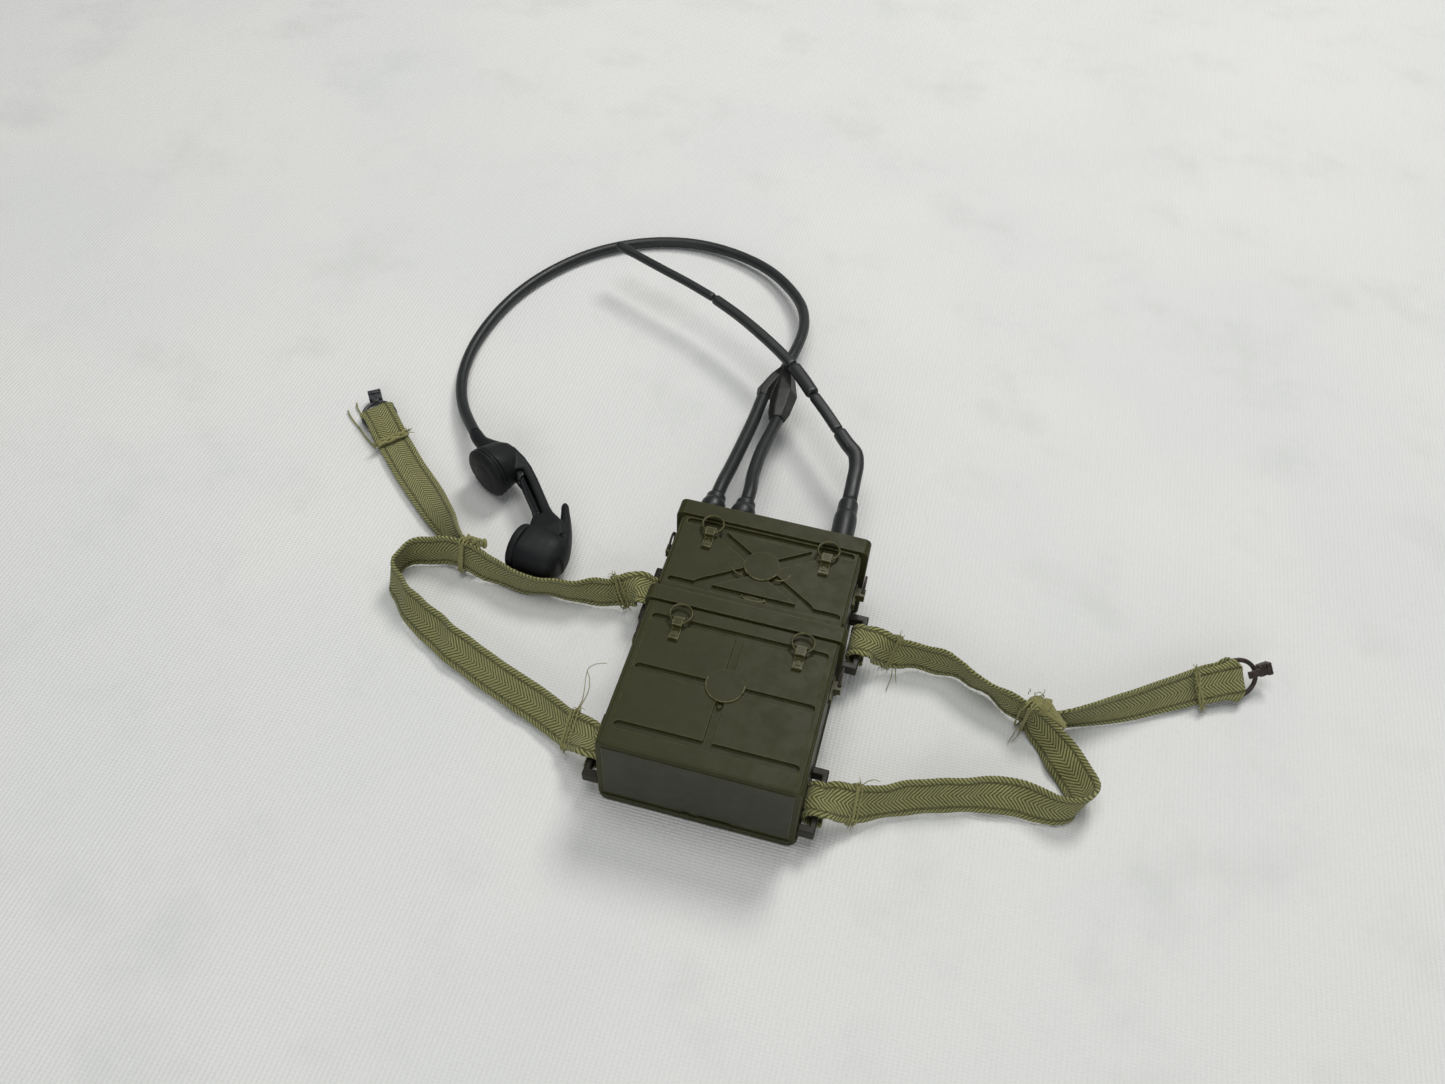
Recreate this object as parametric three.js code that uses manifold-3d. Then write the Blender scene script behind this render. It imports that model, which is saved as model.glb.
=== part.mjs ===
import * as THREE from 'three';
import Module from 'manifold-3d';
import { mergeVertices } from 'three/addons/utils/BufferGeometryUtils.js';

const wasm = await Module();
wasm.setup();

// Driving dimensions in millimetres. The pack lies on its back: +X right, +Y to the aerial end,
// +Z out of the front. Heights along Y are counted from the battery case's foot.
const CASE_LENGTH = 74.2;
const CASE_DEPTH = 25;
const WALL = 2;
const RADIO_HALF = 23.5;
const BATTERY_HALF = 23.7;
const COVER_HALF = 24.2;
const COVER_THICK = 2;
const SEAM_Y = 41.5;
const MID_RIM_TOP = 45.6;
const LID_Y = 69.6;
const RIM_HALF = 25.1;
const RIM_FRONT = 25.7;
const GAP = 0.2;

const RECESS_DEPTH = 0.8;
const RECESS_R = 1;

const LATCH_X = 15;
const LATCH_YS = [67.3, 38.2];
const SIDE_LATCH_Z = 15;
const RING_R = 2.7;
const RING_WIRE = 0.42;
const FRONT_LIFT = 1.3;
const SIDE_LIFT = [2.15, 1.8];

const BAR_THICK = 1.6;
const BAR_HEIGHT = 3;
const BRACKETS = [
  { name: 'upper', y0: 46.4, y1: 63.4, wall: RADIO_HALF, reach: 5.1, z: 7 },
  { name: 'lower', y0: 0.4, y1: 17.6, wall: BATTERY_HALF, reach: 4.2, z: 6.2 },
];

const TAPE_WIDTH = 9.3;
const TAPE_THICK = 1;
const LOOP_R = 2.5;

const LEAD_R = 1.88;
const CORD_R = 1.7;
const SOCKET_XS = [-18.4, -10.2];
const SOCKET_Z = 16.5;
const AERIAL = { x: 17, z: 15 };
const KNOBS = [
  { name: 'tuning_knob', x: 5.4, z: 8.2, r: 3.2 },
  { name: 'volume_knob', x: -3.4, z: 8.2, r: 2.4 },
];

// Harness stations: x, y, z of the tape's middle, then the direction of its top edge.
const LEFT_SHOULDER = [
  [-31, 55.2, 9, 0, 1, 0.2],
  [-33.2, 55, 7.4, 0, 0.6, 0.8],
  [-36.4, 54.5, 5.9, 0, 0.3, 1],
  [-42, 53.3, 5.2, 0, 0.2, 1],
  [-49, 51.9, 5.1, 0, 0, 1],
  [-57, 51, 5, 0, -0.2, 1],
  [-65, 51.2, 5, 0, 0, 1],
  [-72, 52.6, 5.2, 0, 0.2, 1],
  [-78, 54, 6.1, 0, 0.3, 1],
  [-83, 54.6, 6, 0, 0.3, 1],
  [-88, 54.3, 5.1, -0.1, 0.25, 1],
  [-92.5, 52.6, 5.2, -0.1, 0.1, 1],
  [-95.2, 49.6, 5.2, 0, 0, 1],
  [-95.9, 46, 5.2, 0.1, 0, 1],
  [-94.4, 42.2, 5.1, 0.35, 0, 1],
  [-91, 38.4, 5, 0.5, 0.2, 1],
  [-85.5, 34.6, 4.8, 0.5, 0.5, 0.95],
  [-77.7, 30.2, 4.7, 0.45, 0.8, 0.9],
  [-69.8, 26.4, 4.6, 0.42, 0.9, 0.9],
  [-59.8, 22.2, 4.5, 0.4, 1, 0.9],
  [-50, 18.5, 4.5, 0.38, 1.1, 0.9],
  [-41, 15, 4.6, 0.35, 1.1, 0.95],
  [-36.4, 12.6, 5.3, 0.2, 1.1, 0.95],
  [-33.2, 11, 7, 0.1, 1.2, 0.7],
  [-30.4, 9.8, 8.4, 0, 1.2, 0.2],
];
const RIGHT_SHOULDER = [
  [31, 55.2, 9, 0, 1, 0.2],
  [34, 55.4, 7.2, 0, 0.6, 0.8],
  [37.4, 56.1, 5.9, 0, 0.35, 1],
  [41, 56.8, 5.6, 0, 0.2, 1],
  [45, 57.2, 5.2, 0, 0.15, 1],
  [49.5, 57, 5.1, 0, 0.1, 1],
  [53.5, 55.9, 5.1, 0, -0.1, 1],
  [57, 54.2, 5.1, 0, -0.3, 1],
  [61, 52.8, 5.1, 0, -0.3, 1],
  [65, 51, 5.1, 0, -0.2, 1],
  [69, 49, 5.4, 0, 0, 1],
  [72.5, 47.1, 5.5, 0.1, 0, 1],
  [75.6, 44.8, 4.6, 0.4, 0.2, 1],
  [78.8, 41.8, 4.1, 0.6, 0.4, 0.9],
  [82, 38.4, 3.7, 0.9, 0.4, 0.7],
  [84.9, 34.6, 3.6, 1, 0.2, 0.7],
  [87, 30.9, 4.1, 0.8, 0, 0.8],
  [87.2, 27.3, 4.9, 0.3, -0.1, 1],
  [85.2, 24.6, 5, -0.1, 0.1, 1],
  [81.8, 23.5, 4.8, -0.2, 0.4, 1],
  [77.5, 23.9, 4.5, -0.2, 0.6, 1],
  [72.5, 24.5, 4.4, -0.2, 0.8, 1],
  [65.8, 23.4, 4.6, -0.2, 0.8, 1],
  [58.8, 21.3, 4.9, -0.2, 0.6, 1],
  [51.9, 19, 5, -0.2, 0.55, 1],
  [45.3, 16, 5.1, -0.2, 0.5, 1],
  [39.4, 13.1, 5.5, -0.2, 0.6, 1],
  [36, 11.5, 6, -0.1, 0.8, 0.9],
  [33, 10.4, 7.2, 0, 1, 0.6],
  [30.2, 9.5, 8.5, 0, 1, 0.2],
];
const LEFT_TAIL = [
  [-75.6, 55, 6.2, 0, 0.3, 1],
  [-80.6, 55.85, 6.2, 0, 0.3, 1],
  [-84.3, 58.7, 5.6, 0.3, 0.3, 0.9],
  [-88.2, 63, 4.9, 0.5, 0.3, 0.8],
  [-93.2, 67.8, 4, 0.65, 0.4, 0.6],
  [-100.6, 74.8, 2.8, 0.75, 0.55, 0.3],
  [-108.8, 82.3, 2, 0.75, 0.62, 0.12],
  [-114.4, 87.8, 1.8, 0.75, 0.64, 0.08],
  [-117.3, 90.6, 2, 0.74, 0.65, 0.06],
  [-120.1, 93.4, 2.1, 0.72, 0.66, 0.05],
  [-122.8, 96.2, 2.2, 0.7, 0.7, 0.04],
  [-125.3, 98.7, 2.2, 0.68, 0.73, 0.04],
  [-127, 100.3, 2.2, 0.67, 0.74, 0.04],
];
const RIGHT_TAIL = [
  [69.4, 50.4, 5.6, 0, -0.1, 1],
  [73.4, 48.8, 5.6, 0, -0.1, 1],
  [77.2, 48.2, 5.7, 0, -0.1, 1],
  [81, 49.2, 5.4, -0.1, -0.1, 1],
  [86, 51.7, 5.1, -0.15, 0, 1],
  [91, 54.5, 5, -0.2, 0.15, 1],
  [96, 57.5, 4.9, -0.25, 0.3, 1],
  [102, 61.5, 4.8, -0.28, 0.5, 0.9],
  [108.6, 65.8, 4.7, -0.25, 0.66, 0.78],
  [112, 67.9, 4.7, -0.24, 0.7, 0.75],
  [115.2, 69.9, 4.7, -0.24, 0.72, 0.73],
  [118.3, 71.7, 4.7, -0.24, 0.72, 0.73],
  [122.6, 74, 4.7, -0.24, 0.72, 0.73],
];
const FOLD_STATIONS = { left: 4, right: 3 };
const FOLD_NECKS = { left: 4.8, right: 6.6 };
const FOLD_GAP = 1.25;
const CLIP_R = 5.6;
const CLIP_WIRE = 0.6;
const CLIP_NARROWED = 0.84;
const CLIPS = {
  left: { reach: -1.8, turn: -14, tongue: 0.9, half: 1.9 },
  right: { reach: -0.4, turn: 8, tongue: 2.6, half: 1.6 },
};

// Bindings: x, y, z, along the tape, up its width, then width and thickness of the hole.
const BINDINGS = [
  {
    name: 'left_upper_binding', at: [-36, 54.6, 6.15], along: [-1, -0.17, -0.32], up: [0, 0.34, 1],
    hole: [10, 3],
  },
  {
    name: 'left_lower_binding', at: [-34.4, 11.6, 6.3], along: [1, -0.46, 0.42], up: [0.14, 1.15, 0.8],
    hole: [9.9, 2.2],
  },
  {
    name: 'left_knot', at: [-79.5, 54.95, 6.2], along: [-1, -0.16, 0], up: [0, 0.3, 1],
    hole: [10.3, 4.3],
  },
  {
    name: 'right_upper_binding', at: [36.4, 55.85, 6.25], along: [1, 0.2, -0.36], up: [0, 0.44, 1],
    hole: [9.8, 2.2],
  },
  {
    name: 'right_lower_binding', at: [35, 11.15, 6.35], along: [-1, -0.4, 0.36],
    up: [-0.06, 0.85, 0.85], hole: [9.9, 2.2],
  },
  {
    name: 'right_knot', at: [72.2, 48.3, 5.6], along: [1, -0.4, 0], up: [0.05, 0, 1],
    hole: [10, 4.3],
  },
];
const BINDING_LENGTH = 1.8;
const BINDING_WALL = 0.45;

// Aerial sections: x, y, z and half width, drawn as flat blades beyond the knee.
const AERIAL_LOWER = [
  [16.2, 94.9, 15, 2.05],
  [15.9, 102, 15, 2.05],
  [15.3, 109.5, 15, 2.1],
  [14.4, 112.6, 15, 2.15],
  [11.4, 115.9, 15.1, 2.05],
  [8.2, 119.8, 15.2, 1.9],
];
const AERIAL_MIDDLE = [
  [7.9, 120.2, 15.2, 1.6],
  [3.1, 126.2, 15.3, 1.6],
  [-1.8, 131.9, 15.4, 1.6],
];
const AERIAL_SLEEVE = [
  [-2.1, 132.3, 15.4, 2],
  [-6.1, 137.3, 15.5, 2],
  [-10.2, 142.1, 15.5, 1.95],
];
const AERIAL_UPPER = [
  [-10.5, 142.5, 15.5, 1.7],
  [-16.6, 148, 15.5, 1.65],
  [-22.8, 153, 15.5, 1.65],
  [-31.8, 159.6, 15.4, 1.6],
  [-40.8, 165.2, 15.3, 1.6],
];
const AERIAL_TIP = [
  [-41.2, 165.5, 15.3, 1.35],
  [-51, 170.3, 15.2, 1.3],
  [-61, 174.6, 15.1, 1.3],
  [-70, 178.6, 15, 1.25],
  [-77.4, 182, 15, 1.25],
  [-78.6, 182.6, 15, 0.8],
];

// Leads and cord: x, y, z along each centre line.
const LEADS = [
  [[-18.4, 85.6, 16.5], [-18.3, 89, 16.3], [-17.8, 98, 14.8], [-17.3, 110, 12.9],
    [-16.9, 121, 11.4], [-16.8, 131.4, 10.4]],
  [[-10.2, 85.6, 16.5], [-10.3, 89, 16.3], [-11.2, 97, 14.8], [-11.5, 108, 12.9],
    [-11, 117, 11.2], [-10.6, 123.6, 10.2]],
];
const CORD = [
  [-13, 148.4, 10], [-12.6, 153, 9.6], [-12.2, 160, 8.6], [-12.6, 170, 7.2], [-15.6, 181, 5.6],
  [-21.8, 190.6, 4.2],
  [-31.2, 199.2, 3.2], [-44.6, 205, 2.5], [-58, 206.6, 2.1], [-70.2, 204.4, 1.8], [-81.2, 199, 1.8],
  [-91.4, 190.6, 1.8], [-100, 179.2, 1.8], [-106.8, 164.6, 1.8], [-110.4, 148.4, 1.8], [-110.8, 133.4, 1.9],
  [-108.2, 120.2, 2.4], [-103, 109, 3.6], [-97.8, 101.8, 5], [-94, 97.2, 6.2],
];

// Handset: a local frame with u along the grip, v towards the face side, w up.
const HANDSET_AT = [-75, 76, 7.6];
const HANDSET_U = [0.624, -0.781, 0];
const EAR = { u: -10.2, v: 4.4, nu: 0.4, nv: 0.917, r: 7.4, thick: 3 };
const MOUTH = { u: 17.2, v: 3.8, nu: -0.737, nv: 0.666, r: 6.6, thick: 2.6 };
const TALK_PIVOT = [-5.2, -4.9];

const OLIVE = 0x4a4931;
const OLIVE_DARK = 0x434230;
const CHARCOAL = 0x33363a;
const TAPE = 0x7c7c52;
const THREAD = 0x6c6a45;
const BROWN = 0x3a2f2b;

function material(color, roughness, metalness = 0) {
  return new THREE.MeshStandardMaterial({ color, roughness, metalness });
}

function mesh(name, geometry, mat) {
  const m = new THREE.Mesh(geometry, mat);
  m.name = name;
  return m;
}

function toManifold(geometry) {
  const bare = new THREE.BufferGeometry();
  bare.setAttribute('position', geometry.getAttribute('position').clone());
  if (geometry.index) bare.setIndex(geometry.index.clone());
  const g = mergeVertices(bare, 1e-3);
  return new wasm.Manifold(new wasm.Mesh({
    numProp: 3,
    vertProperties: new Float32Array(g.getAttribute('position').array),
    triVerts: new Uint32Array(g.index.array),
  }));
}

function fromManifold(solid) {
  const m = solid.getMesh();
  const g = new THREE.BufferGeometry();
  g.setAttribute('position', new THREE.BufferAttribute(new Float32Array(m.vertProperties), 3));
  g.setIndex(new THREE.BufferAttribute(new Uint32Array(m.triVerts), 1));
  return g;
}

function union(parts) {
  return parts.map(toManifold).reduce((a, b) => a.add(b));
}

function cut(base, tools) {
  return tools.reduce((a, t) => a.subtract(toManifold(t)), base);
}

function outline(points) {
  return new THREE.Shape(points.map(([a, b]) => new THREE.Vector2(a, b)));
}

function prismZ(points, z0, z1) {
  const g = new THREE.ExtrudeGeometry(outline(points), { depth: z1 - z0, bevelEnabled: false });
  return g.translate(0, 0, z0);
}

// Points are (x, z); the prism runs along Y.
function prismY(points, y0, y1) {
  const g = new THREE.ExtrudeGeometry(outline(points), { depth: y1 - y0, bevelEnabled: false });
  g.rotateX(Math.PI / 2);
  return g.translate(0, y1, 0);
}

function box(x0, x1, y0, y1, z0, z1) {
  const g = new THREE.BoxGeometry(x1 - x0, y1 - y0, z1 - z0);
  return g.translate((x0 + x1) / 2, (y0 + y1) / 2, (z0 + z1) / 2);
}

function rounded(x0, x1, y0, y1, radii, steps = 4) {
  const corners = [[x1, y1, 0], [x0, y1, 1], [x0, y0, 2], [x1, y0, 3]];
  const points = [];
  for (const [cx, cy, quarter] of corners) {
    const r = radii[quarter];
    const sx = cx === x1 ? -1 : 1;
    const sy = cy === y1 ? -1 : 1;
    for (let i = 0; i <= (r > 0 ? steps : 0); i += 1) {
      const a = (quarter + i / steps) * Math.PI / 2;
      points.push([cx + sx * r + r * Math.cos(a), cy + sy * r + r * Math.sin(a)]);
    }
  }
  return points;
}

function band(x0, y0, x1, y1, r) {
  const a = Math.atan2(y1 - y0, x1 - x0);
  const points = [];
  for (let i = 0; i <= 5; i += 1) {
    const t = a - Math.PI / 2 + i * Math.PI / 5;
    points.push([x1 + r * Math.cos(t), y1 + r * Math.sin(t)]);
  }
  for (let i = 0; i <= 5; i += 1) {
    const t = a + Math.PI / 2 + i * Math.PI / 5;
    points.push([x0 + r * Math.cos(t), y0 + r * Math.sin(t)]);
  }
  return points;
}

function disc(x, y, rx, ry, n) {
  const points = [];
  for (let i = 0; i < n; i += 1) {
    const a = i * 2 * Math.PI / n;
    points.push([x + rx * Math.cos(a), y + ry * Math.sin(a)]);
  }
  return points;
}

// A closed skin through equal rings of points, capped at both ends.
function loft(rings) {
  const n = rings[0].length;
  const verts = rings.flat();
  const index = [];
  for (let k = 0; k < rings.length - 1; k += 1) {
    for (let i = 0; i < n; i += 1) {
      const a = k * n + i;
      const b = k * n + (i + 1) % n;
      index.push(a, b, a + n, b, b + n, a + n);
    }
  }
  const last = (rings.length - 1) * n;
  for (let i = 1; i < n - 1; i += 1) {
    index.push(0, i + 1, i);
    index.push(last, last + i, last + i + 1);
  }
  const g = new THREE.BufferGeometry();
  g.setAttribute('position', new THREE.Float32BufferAttribute(verts.flatMap((v) => [v.x, v.y, v.z]), 3));
  g.setIndex(index);
  if (signedVolume(verts, index) < 0) {
    for (let i = 0; i < index.length; i += 3) {
      [index[i], index[i + 1]] = [index[i + 1], index[i]];
    }
    g.setIndex(index);
  }
  return g;
}

function signedVolume(verts, index) {
  let volume = 0;
  for (let i = 0; i < index.length; i += 3) {
    const a = verts[index[i]];
    const b = verts[index[i + 1]];
    const c = verts[index[i + 2]];
    volume += a.dot(b.clone().cross(c)) / 6;
  }
  return volume;
}

function tangents(points) {
  return points.map((p, i) => {
    const before = points[Math.max(i - 1, 0)];
    const after = points[Math.min(i + 1, points.length - 1)];
    return after.clone().sub(before).normalize();
  });
}

function ribbon(stations) {
  const centres = stations.map((s) => new THREE.Vector3(s[0], s[1], s[2]));
  const along = tangents(centres);
  const rings = centres.map((c, i) => {
    const side = new THREE.Vector3(stations[i][3], stations[i][4], stations[i][5]);
    side.addScaledVector(along[i], -side.dot(along[i])).normalize();
    const normal = along[i].clone().cross(side).multiplyScalar(TAPE_THICK / 2);
    side.multiplyScalar((stations[i][6] ?? TAPE_WIDTH) / 2);
    return [
      c.clone().add(side).add(normal),
      c.clone().add(side).sub(normal),
      c.clone().sub(side).sub(normal),
      c.clone().sub(side).add(normal),
    ];
  });
  return loft(rings);
}

// Stations that carry the tape round a bracket's bar, from below it to above it.
function barLoop(side, bracket) {
  const barX = bracket.wall + bracket.reach - BAR_THICK / 2;
  const y = (bracket.y0 + bracket.y1) / 2;
  const stations = [];
  for (let degrees = -130; degrees <= 110; degrees += 30) {
    const a = degrees * Math.PI / 180;
    stations.push([side * (barX - LOOP_R * Math.cos(a)), y, bracket.z + LOOP_R * Math.sin(a), 0, 1, 0]);
  }
  return stations;
}

function shoulderStrap(side, stations) {
  const start = barLoop(side, BRACKETS[0]);
  const end = barLoop(side, BRACKETS[1]).reverse();
  return ribbon([...start, ...stations, ...end]);
}

// The tail's end goes through its clip and comes back on top of itself.
function tailStrap(stations, hand) {
  const folded = FOLD_STATIONS[hand];
  const centres = stations.map((s) => new THREE.Vector3(s[0], s[1], s[2]));
  const along = tangents(centres);
  const first = stations.length - folded;
  const out = [];
  const back = [];
  for (let i = 0; i < stations.length; i += 1) {
    const up = new THREE.Vector3(stations[i][3], stations[i][4], stations[i][5]);
    up.addScaledVector(along[i], -up.dot(along[i])).normalize();
    const normal = along[i].clone().cross(up).normalize();
    if (normal.z < 0) normal.negate();
    const share = Math.max(0, (i - first + 1) / folded);
    const g = i < first - 1 ? 0 : 0.6 + (FOLD_GAP - 0.6) * Math.min(1, share * 4);
    const width = share > 0.9 ? FOLD_NECKS[hand] : TAPE_WIDTH;
    const low = centres[i].clone().addScaledVector(normal, -g);
    out.push([low.x, low.y, low.z, up.x, up.y, up.z, width]);
    if (i < first - 1) continue;
    const high = centres[i].clone().addScaledVector(normal, g);
    back.unshift([high.x, high.y, high.z, up.x, up.y, up.z, width]);
    if (i < stations.length - 1) continue;
    for (const degrees of [45, 90, 135]) {
      const a = degrees * Math.PI / 180;
      const p = centres[i].clone();
      p.addScaledVector(normal, -g * Math.cos(a)).addScaledVector(along[i], g * Math.sin(a));
      out.push([p.x, p.y, p.z, up.x, up.y, up.z, width]);
    }
  }
  return ribbon([...out, ...back]);
}

// A clip's frame at the end of a tail: X along the tape, turned about Z, which comes up off its face.
function clipFrame(stations, { reach, turn }) {
  const n = stations.length;
  const end = new THREE.Vector3(...stations[n - 1].slice(0, 3));
  const along = end.clone().sub(new THREE.Vector3(...stations[n - 2].slice(0, 3))).normalize();
  const up = new THREE.Vector3(...stations[n - 1].slice(3, 6));
  up.addScaledVector(along, -up.dot(along)).normalize();
  const normal = along.clone().cross(up);
  if (normal.z < 0) {
    up.negate();
    normal.negate();
  }
  end.addScaledVector(along, reach);
  const frame = new THREE.Matrix4().makeBasis(along, up, normal).setPosition(end);
  return frame.multiply(new THREE.Matrix4().makeRotationZ(turn * Math.PI / 180));
}

function clipRing(stations, clip) {
  const g = new THREE.TorusGeometry(CLIP_R, CLIP_WIRE, 8, 24).scale(1, CLIP_NARROWED, 1);
  return g.applyMatrix4(clipFrame(stations, clip));
}

function clipHook(stations, clip) {
  const plate = box(CLIP_R + 0.8, CLIP_R + 4, -clip.half, clip.half, -0.7, 0.9);
  const lip = box(CLIP_R + 2.7, CLIP_R + 4, -clip.half, clip.half, -0.7, 1.7);
  const tongue = box(CLIP_R - clip.tongue, CLIP_R + 1.4, -0.9, 0.9, 0.8, 1.6);
  const riser = box(CLIP_R + 0.8, CLIP_R + 1.4, -1.2, 1.2, -0.7, 1.6);
  const g = fromManifold(union([plate, lip, tongue, riser]));
  return g.applyMatrix4(clipFrame(stations, clip));
}

function binding({ at, along, up, hole }) {
  const t = new THREE.Vector3(...along).normalize();
  const w = new THREE.Vector3(...up);
  w.addScaledVector(t, -w.dot(t)).normalize();
  const n = t.clone().cross(w);
  const [a, b] = [hole[0] / 2, hole[1] / 2];
  const shape = outline([[-a, -b], [a, -b], [a, b], [-a, b]].map(([p, q]) => [
    p + Math.sign(p) * BINDING_WALL, q + Math.sign(q) * BINDING_WALL]));
  shape.holes.push(outline([[-a, -b], [-a, b], [a, b], [a, -b]]));
  const g = new THREE.ExtrudeGeometry(shape, { depth: BINDING_LENGTH, bevelEnabled: false });
  g.translate(0, 0, -BINDING_LENGTH / 2);
  return g.applyMatrix4(new THREE.Matrix4().makeBasis(w, n, t).setPosition(...at));
}

function radioCase() {
  const side = [RADIO_HALF, RADIO_HALF + 1.4];
  const z0 = COVER_THICK + GAP;
  const outer = rounded(-side[0], side[0], z0, CASE_DEPTH, [1.2, 1.2, 0, 0]);
  const body = prismY(outer, MID_RIM_TOP - 0.5, LID_Y - GAP);
  const rim = prismY(rounded(-side[1], side[1], z0, RIM_FRONT, [1.6, 1.6, 0, 0]), SEAM_Y, MID_RIM_TOP);
  const boss = prismZ(disc(0.2, 58.6, 4.5, 4.5, 24), CASE_DEPTH - 1.4, CASE_DEPTH + 0.3);
  const lip = prismZ(disc(0.4, 48.4, 3, 0.7, 16), CASE_DEPTH - 1.4, CASE_DEPTH - 0.35);
  const inside = side[0] - WALL;
  const hollow = box(-inside, inside, SEAM_Y + WALL, LID_Y - GAP - WALL, -1, CASE_DEPTH - WALL);
  const grooves = [
    band(-20.7, 67.9, 20.9, 67.9, RECESS_R),
    band(-20.4, 48.6, 21.1, 48.6, RECESS_R),
    band(-13.4, 49.3, 14.2, 67.2, 1.4),
    band(13.8, 49.3, -14, 67.2, 1.4),
  ].map((points) => prismZ(points, CASE_DEPTH - RECESS_DEPTH, CASE_DEPTH + 1));
  const shell = cut(union([body, rim]), [hollow, ...grooves]);
  return shell.add(toManifold(boss)).add(toManifold(lip));
}

function batteryCase() {
  const h = BATTERY_HALF;
  const z0 = COVER_THICK + GAP;
  const body = prismY(rounded(-h, h, z0, CASE_DEPTH, [1, 1, 0, 0]), 0, SEAM_Y - GAP);
  const hollow = box(-h + WALL, h - WALL, WALL, SEAM_Y - GAP - WALL, -1, CASE_DEPTH - WALL);
  const grooves = [
    band(-20.6, 36.7, 20.7, 36.7, RECESS_R),
    band(-20.2, 21.9, 20.7, 21.9, RECESS_R),
    band(-20.1, 5.9, 20.7, 5.9, RECESS_R),
    band(0.4, 5.9, 0.4, 36.7, RECESS_R),
  ].map((points) => prismZ(points, CASE_DEPTH - RECESS_DEPTH, CASE_DEPTH + 1));
  const boss = prismZ(disc(0.4, 22.3, 4.6, 4.6, 24), CASE_DEPTH - 1.4, CASE_DEPTH + 0.3);
  const stud = prismZ(disc(0.5, 16.6, 0.6, 0.6, 10), CASE_DEPTH - 1.4, CASE_DEPTH - 0.1);
  const shell = cut(toManifold(body), [hollow, ...grooves]);
  return shell.add(toManifold(boss)).add(toManifold(stud));
}

function backCover() {
  const corners = rounded(-COVER_HALF, COVER_HALF, -0.4, LID_Y - GAP, [0.6, 0.6, 2.4, 2.4]);
  const plate = prismZ(corners, 0, COVER_THICK);
  const inside = RADIO_HALF - WALL - GAP;
  const locator = box(-inside, inside, WALL + GAP, 38.9, COVER_THICK - 0.5, 4);
  const pocket = box(-19, 19, 5, 36, COVER_THICK, 5);
  return cut(union([plate, locator]), [pocket]);
}

function topPanel() {
  const body = prismY(rounded(-RIM_HALF, RIM_HALF, 0.3, RIM_FRONT, [1.8, 1.8, 1.2, 1.2]), LID_Y, CASE_LENGTH);
  const tray = box(-RIM_HALF + 1.7, RIM_HALF - 1.7, 72.7, CASE_LENGTH + 1, 2, RIM_FRONT - 1.7);
  const socketHoles = SOCKET_XS.map((x) => prismY(disc(x, SOCKET_Z, 1.95, 1.95, 20), 70.6, 80));
  const pegHole = prismY(disc(AERIAL.x, AERIAL.z, 2.05, 2.05, 20), 70.6, 80);
  const knobHoles = KNOBS.map((k) => prismY(disc(k.x, k.z, 0.85, 0.85, 14), 70.6, 80));
  const windowPocket = box(-1.9, 4.9, 71.8, 80, 15.4, 20.6);
  return cut(toManifold(body), [tray, ...socketHoles, pegHole, ...knobHoles, windowPocket]);
}

// Turned parts stand on the lid: the profile is (radius, height above y) pairs.
function turned(profile, x, y, z, sides) {
  const g = new THREE.LatheGeometry(profile.map(([r, h]) => new THREE.Vector2(r, h)), sides);
  return g.translate(x, y, z);
}

function socket(x) {
  const profile = [[2, 72.8], [3.5, 72.8], [3.5, 75.6], [3.1, 76], [2, 76], [2, 72.8]];
  return turned(profile, x, 0, SOCKET_Z, 24);
}

function plug(x) {
  const profile = [[0, 71.2], [1.85, 71.2], [1.85, 76.2], [3.3, 76.2], [3.3, 82.6], [2.75, 83.2], [2.75, 85],
    [2.4, 85.3], [0, 85.3]];
  return turned(profile, x, 0, SOCKET_Z, 24);
}

function knob({ x, z, r }) {
  const profile = [[0, 71], [0.75, 71], [0.75, 73], [r, 73], [r, 76.6], [r - 0.5, 77.2], [0, 77.2]];
  const body = turned(profile, x, 0, z, 24);
  const pointer = box(x - 0.3, x + 0.3, 77, 77.6, z, z + r - 0.4);
  return fromManifold(union([body, pointer]));
}

function dialWindow() {
  return box(-1.7, 4.7, 72, 73.1, 15.6, 20.4);
}

function latchPlate(x, y, lift) {
  const z = CASE_DEPTH + 0.05;
  const tab = box(x - 1.2, x + 1.2, y - 7.1, y - 0.3, z, z + 0.4);
  const bridge = box(x - 1.2, x + 1.2, y - 3.9, y - 1.5, z, CASE_DEPTH + lift + 0.65);
  const lip = box(x - 1.2, x + 1.2, y - 7.1, y - 6.6, z, z + 0.8);
  const bump = box(x - 0.45, x + 0.45, y - 6, y - 4.6, z, z + 0.65);
  const bore = prismX(disc(y - RING_R, CASE_DEPTH + lift, 0.48, 0.48, 12), x - 2, x + 2);
  return fromManifold(cut(union([tab, bridge, lip, bump]), [bore]));
}

// Points are (y, z); the prism runs along X.
function prismX(points, x0, x1) {
  const g = new THREE.ExtrudeGeometry(outline(points), { depth: x1 - x0, bevelEnabled: false });
  const turn = new THREE.Matrix4().makeBasis(
    new THREE.Vector3(0, 1, 0), new THREE.Vector3(0, 0, 1), new THREE.Vector3(1, 0, 0));
  return g.applyMatrix4(turn).translate(x0, 0, 0);
}

// A wire ring whose straight axle runs through the latch plate.
function latchRing(x, y, lift) {
  const z = CASE_DEPTH + lift;
  const axleY = y - RING_R;
  const ring = new THREE.TorusGeometry(RING_R, RING_WIRE, 6, 18);
  ring.translate(x, y, z);
  const clear = box(x - 1.45, x + 1.45, axleY - 1, axleY + 0.9, z - 1, z + 1);
  const axle = prismX(disc(axleY, z, 0.38, 0.38, 8), x - 1.9, x + 1.9);
  return fromManifold(cut(toManifold(ring), [clear]).add(toManifold(axle)));
}

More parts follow.
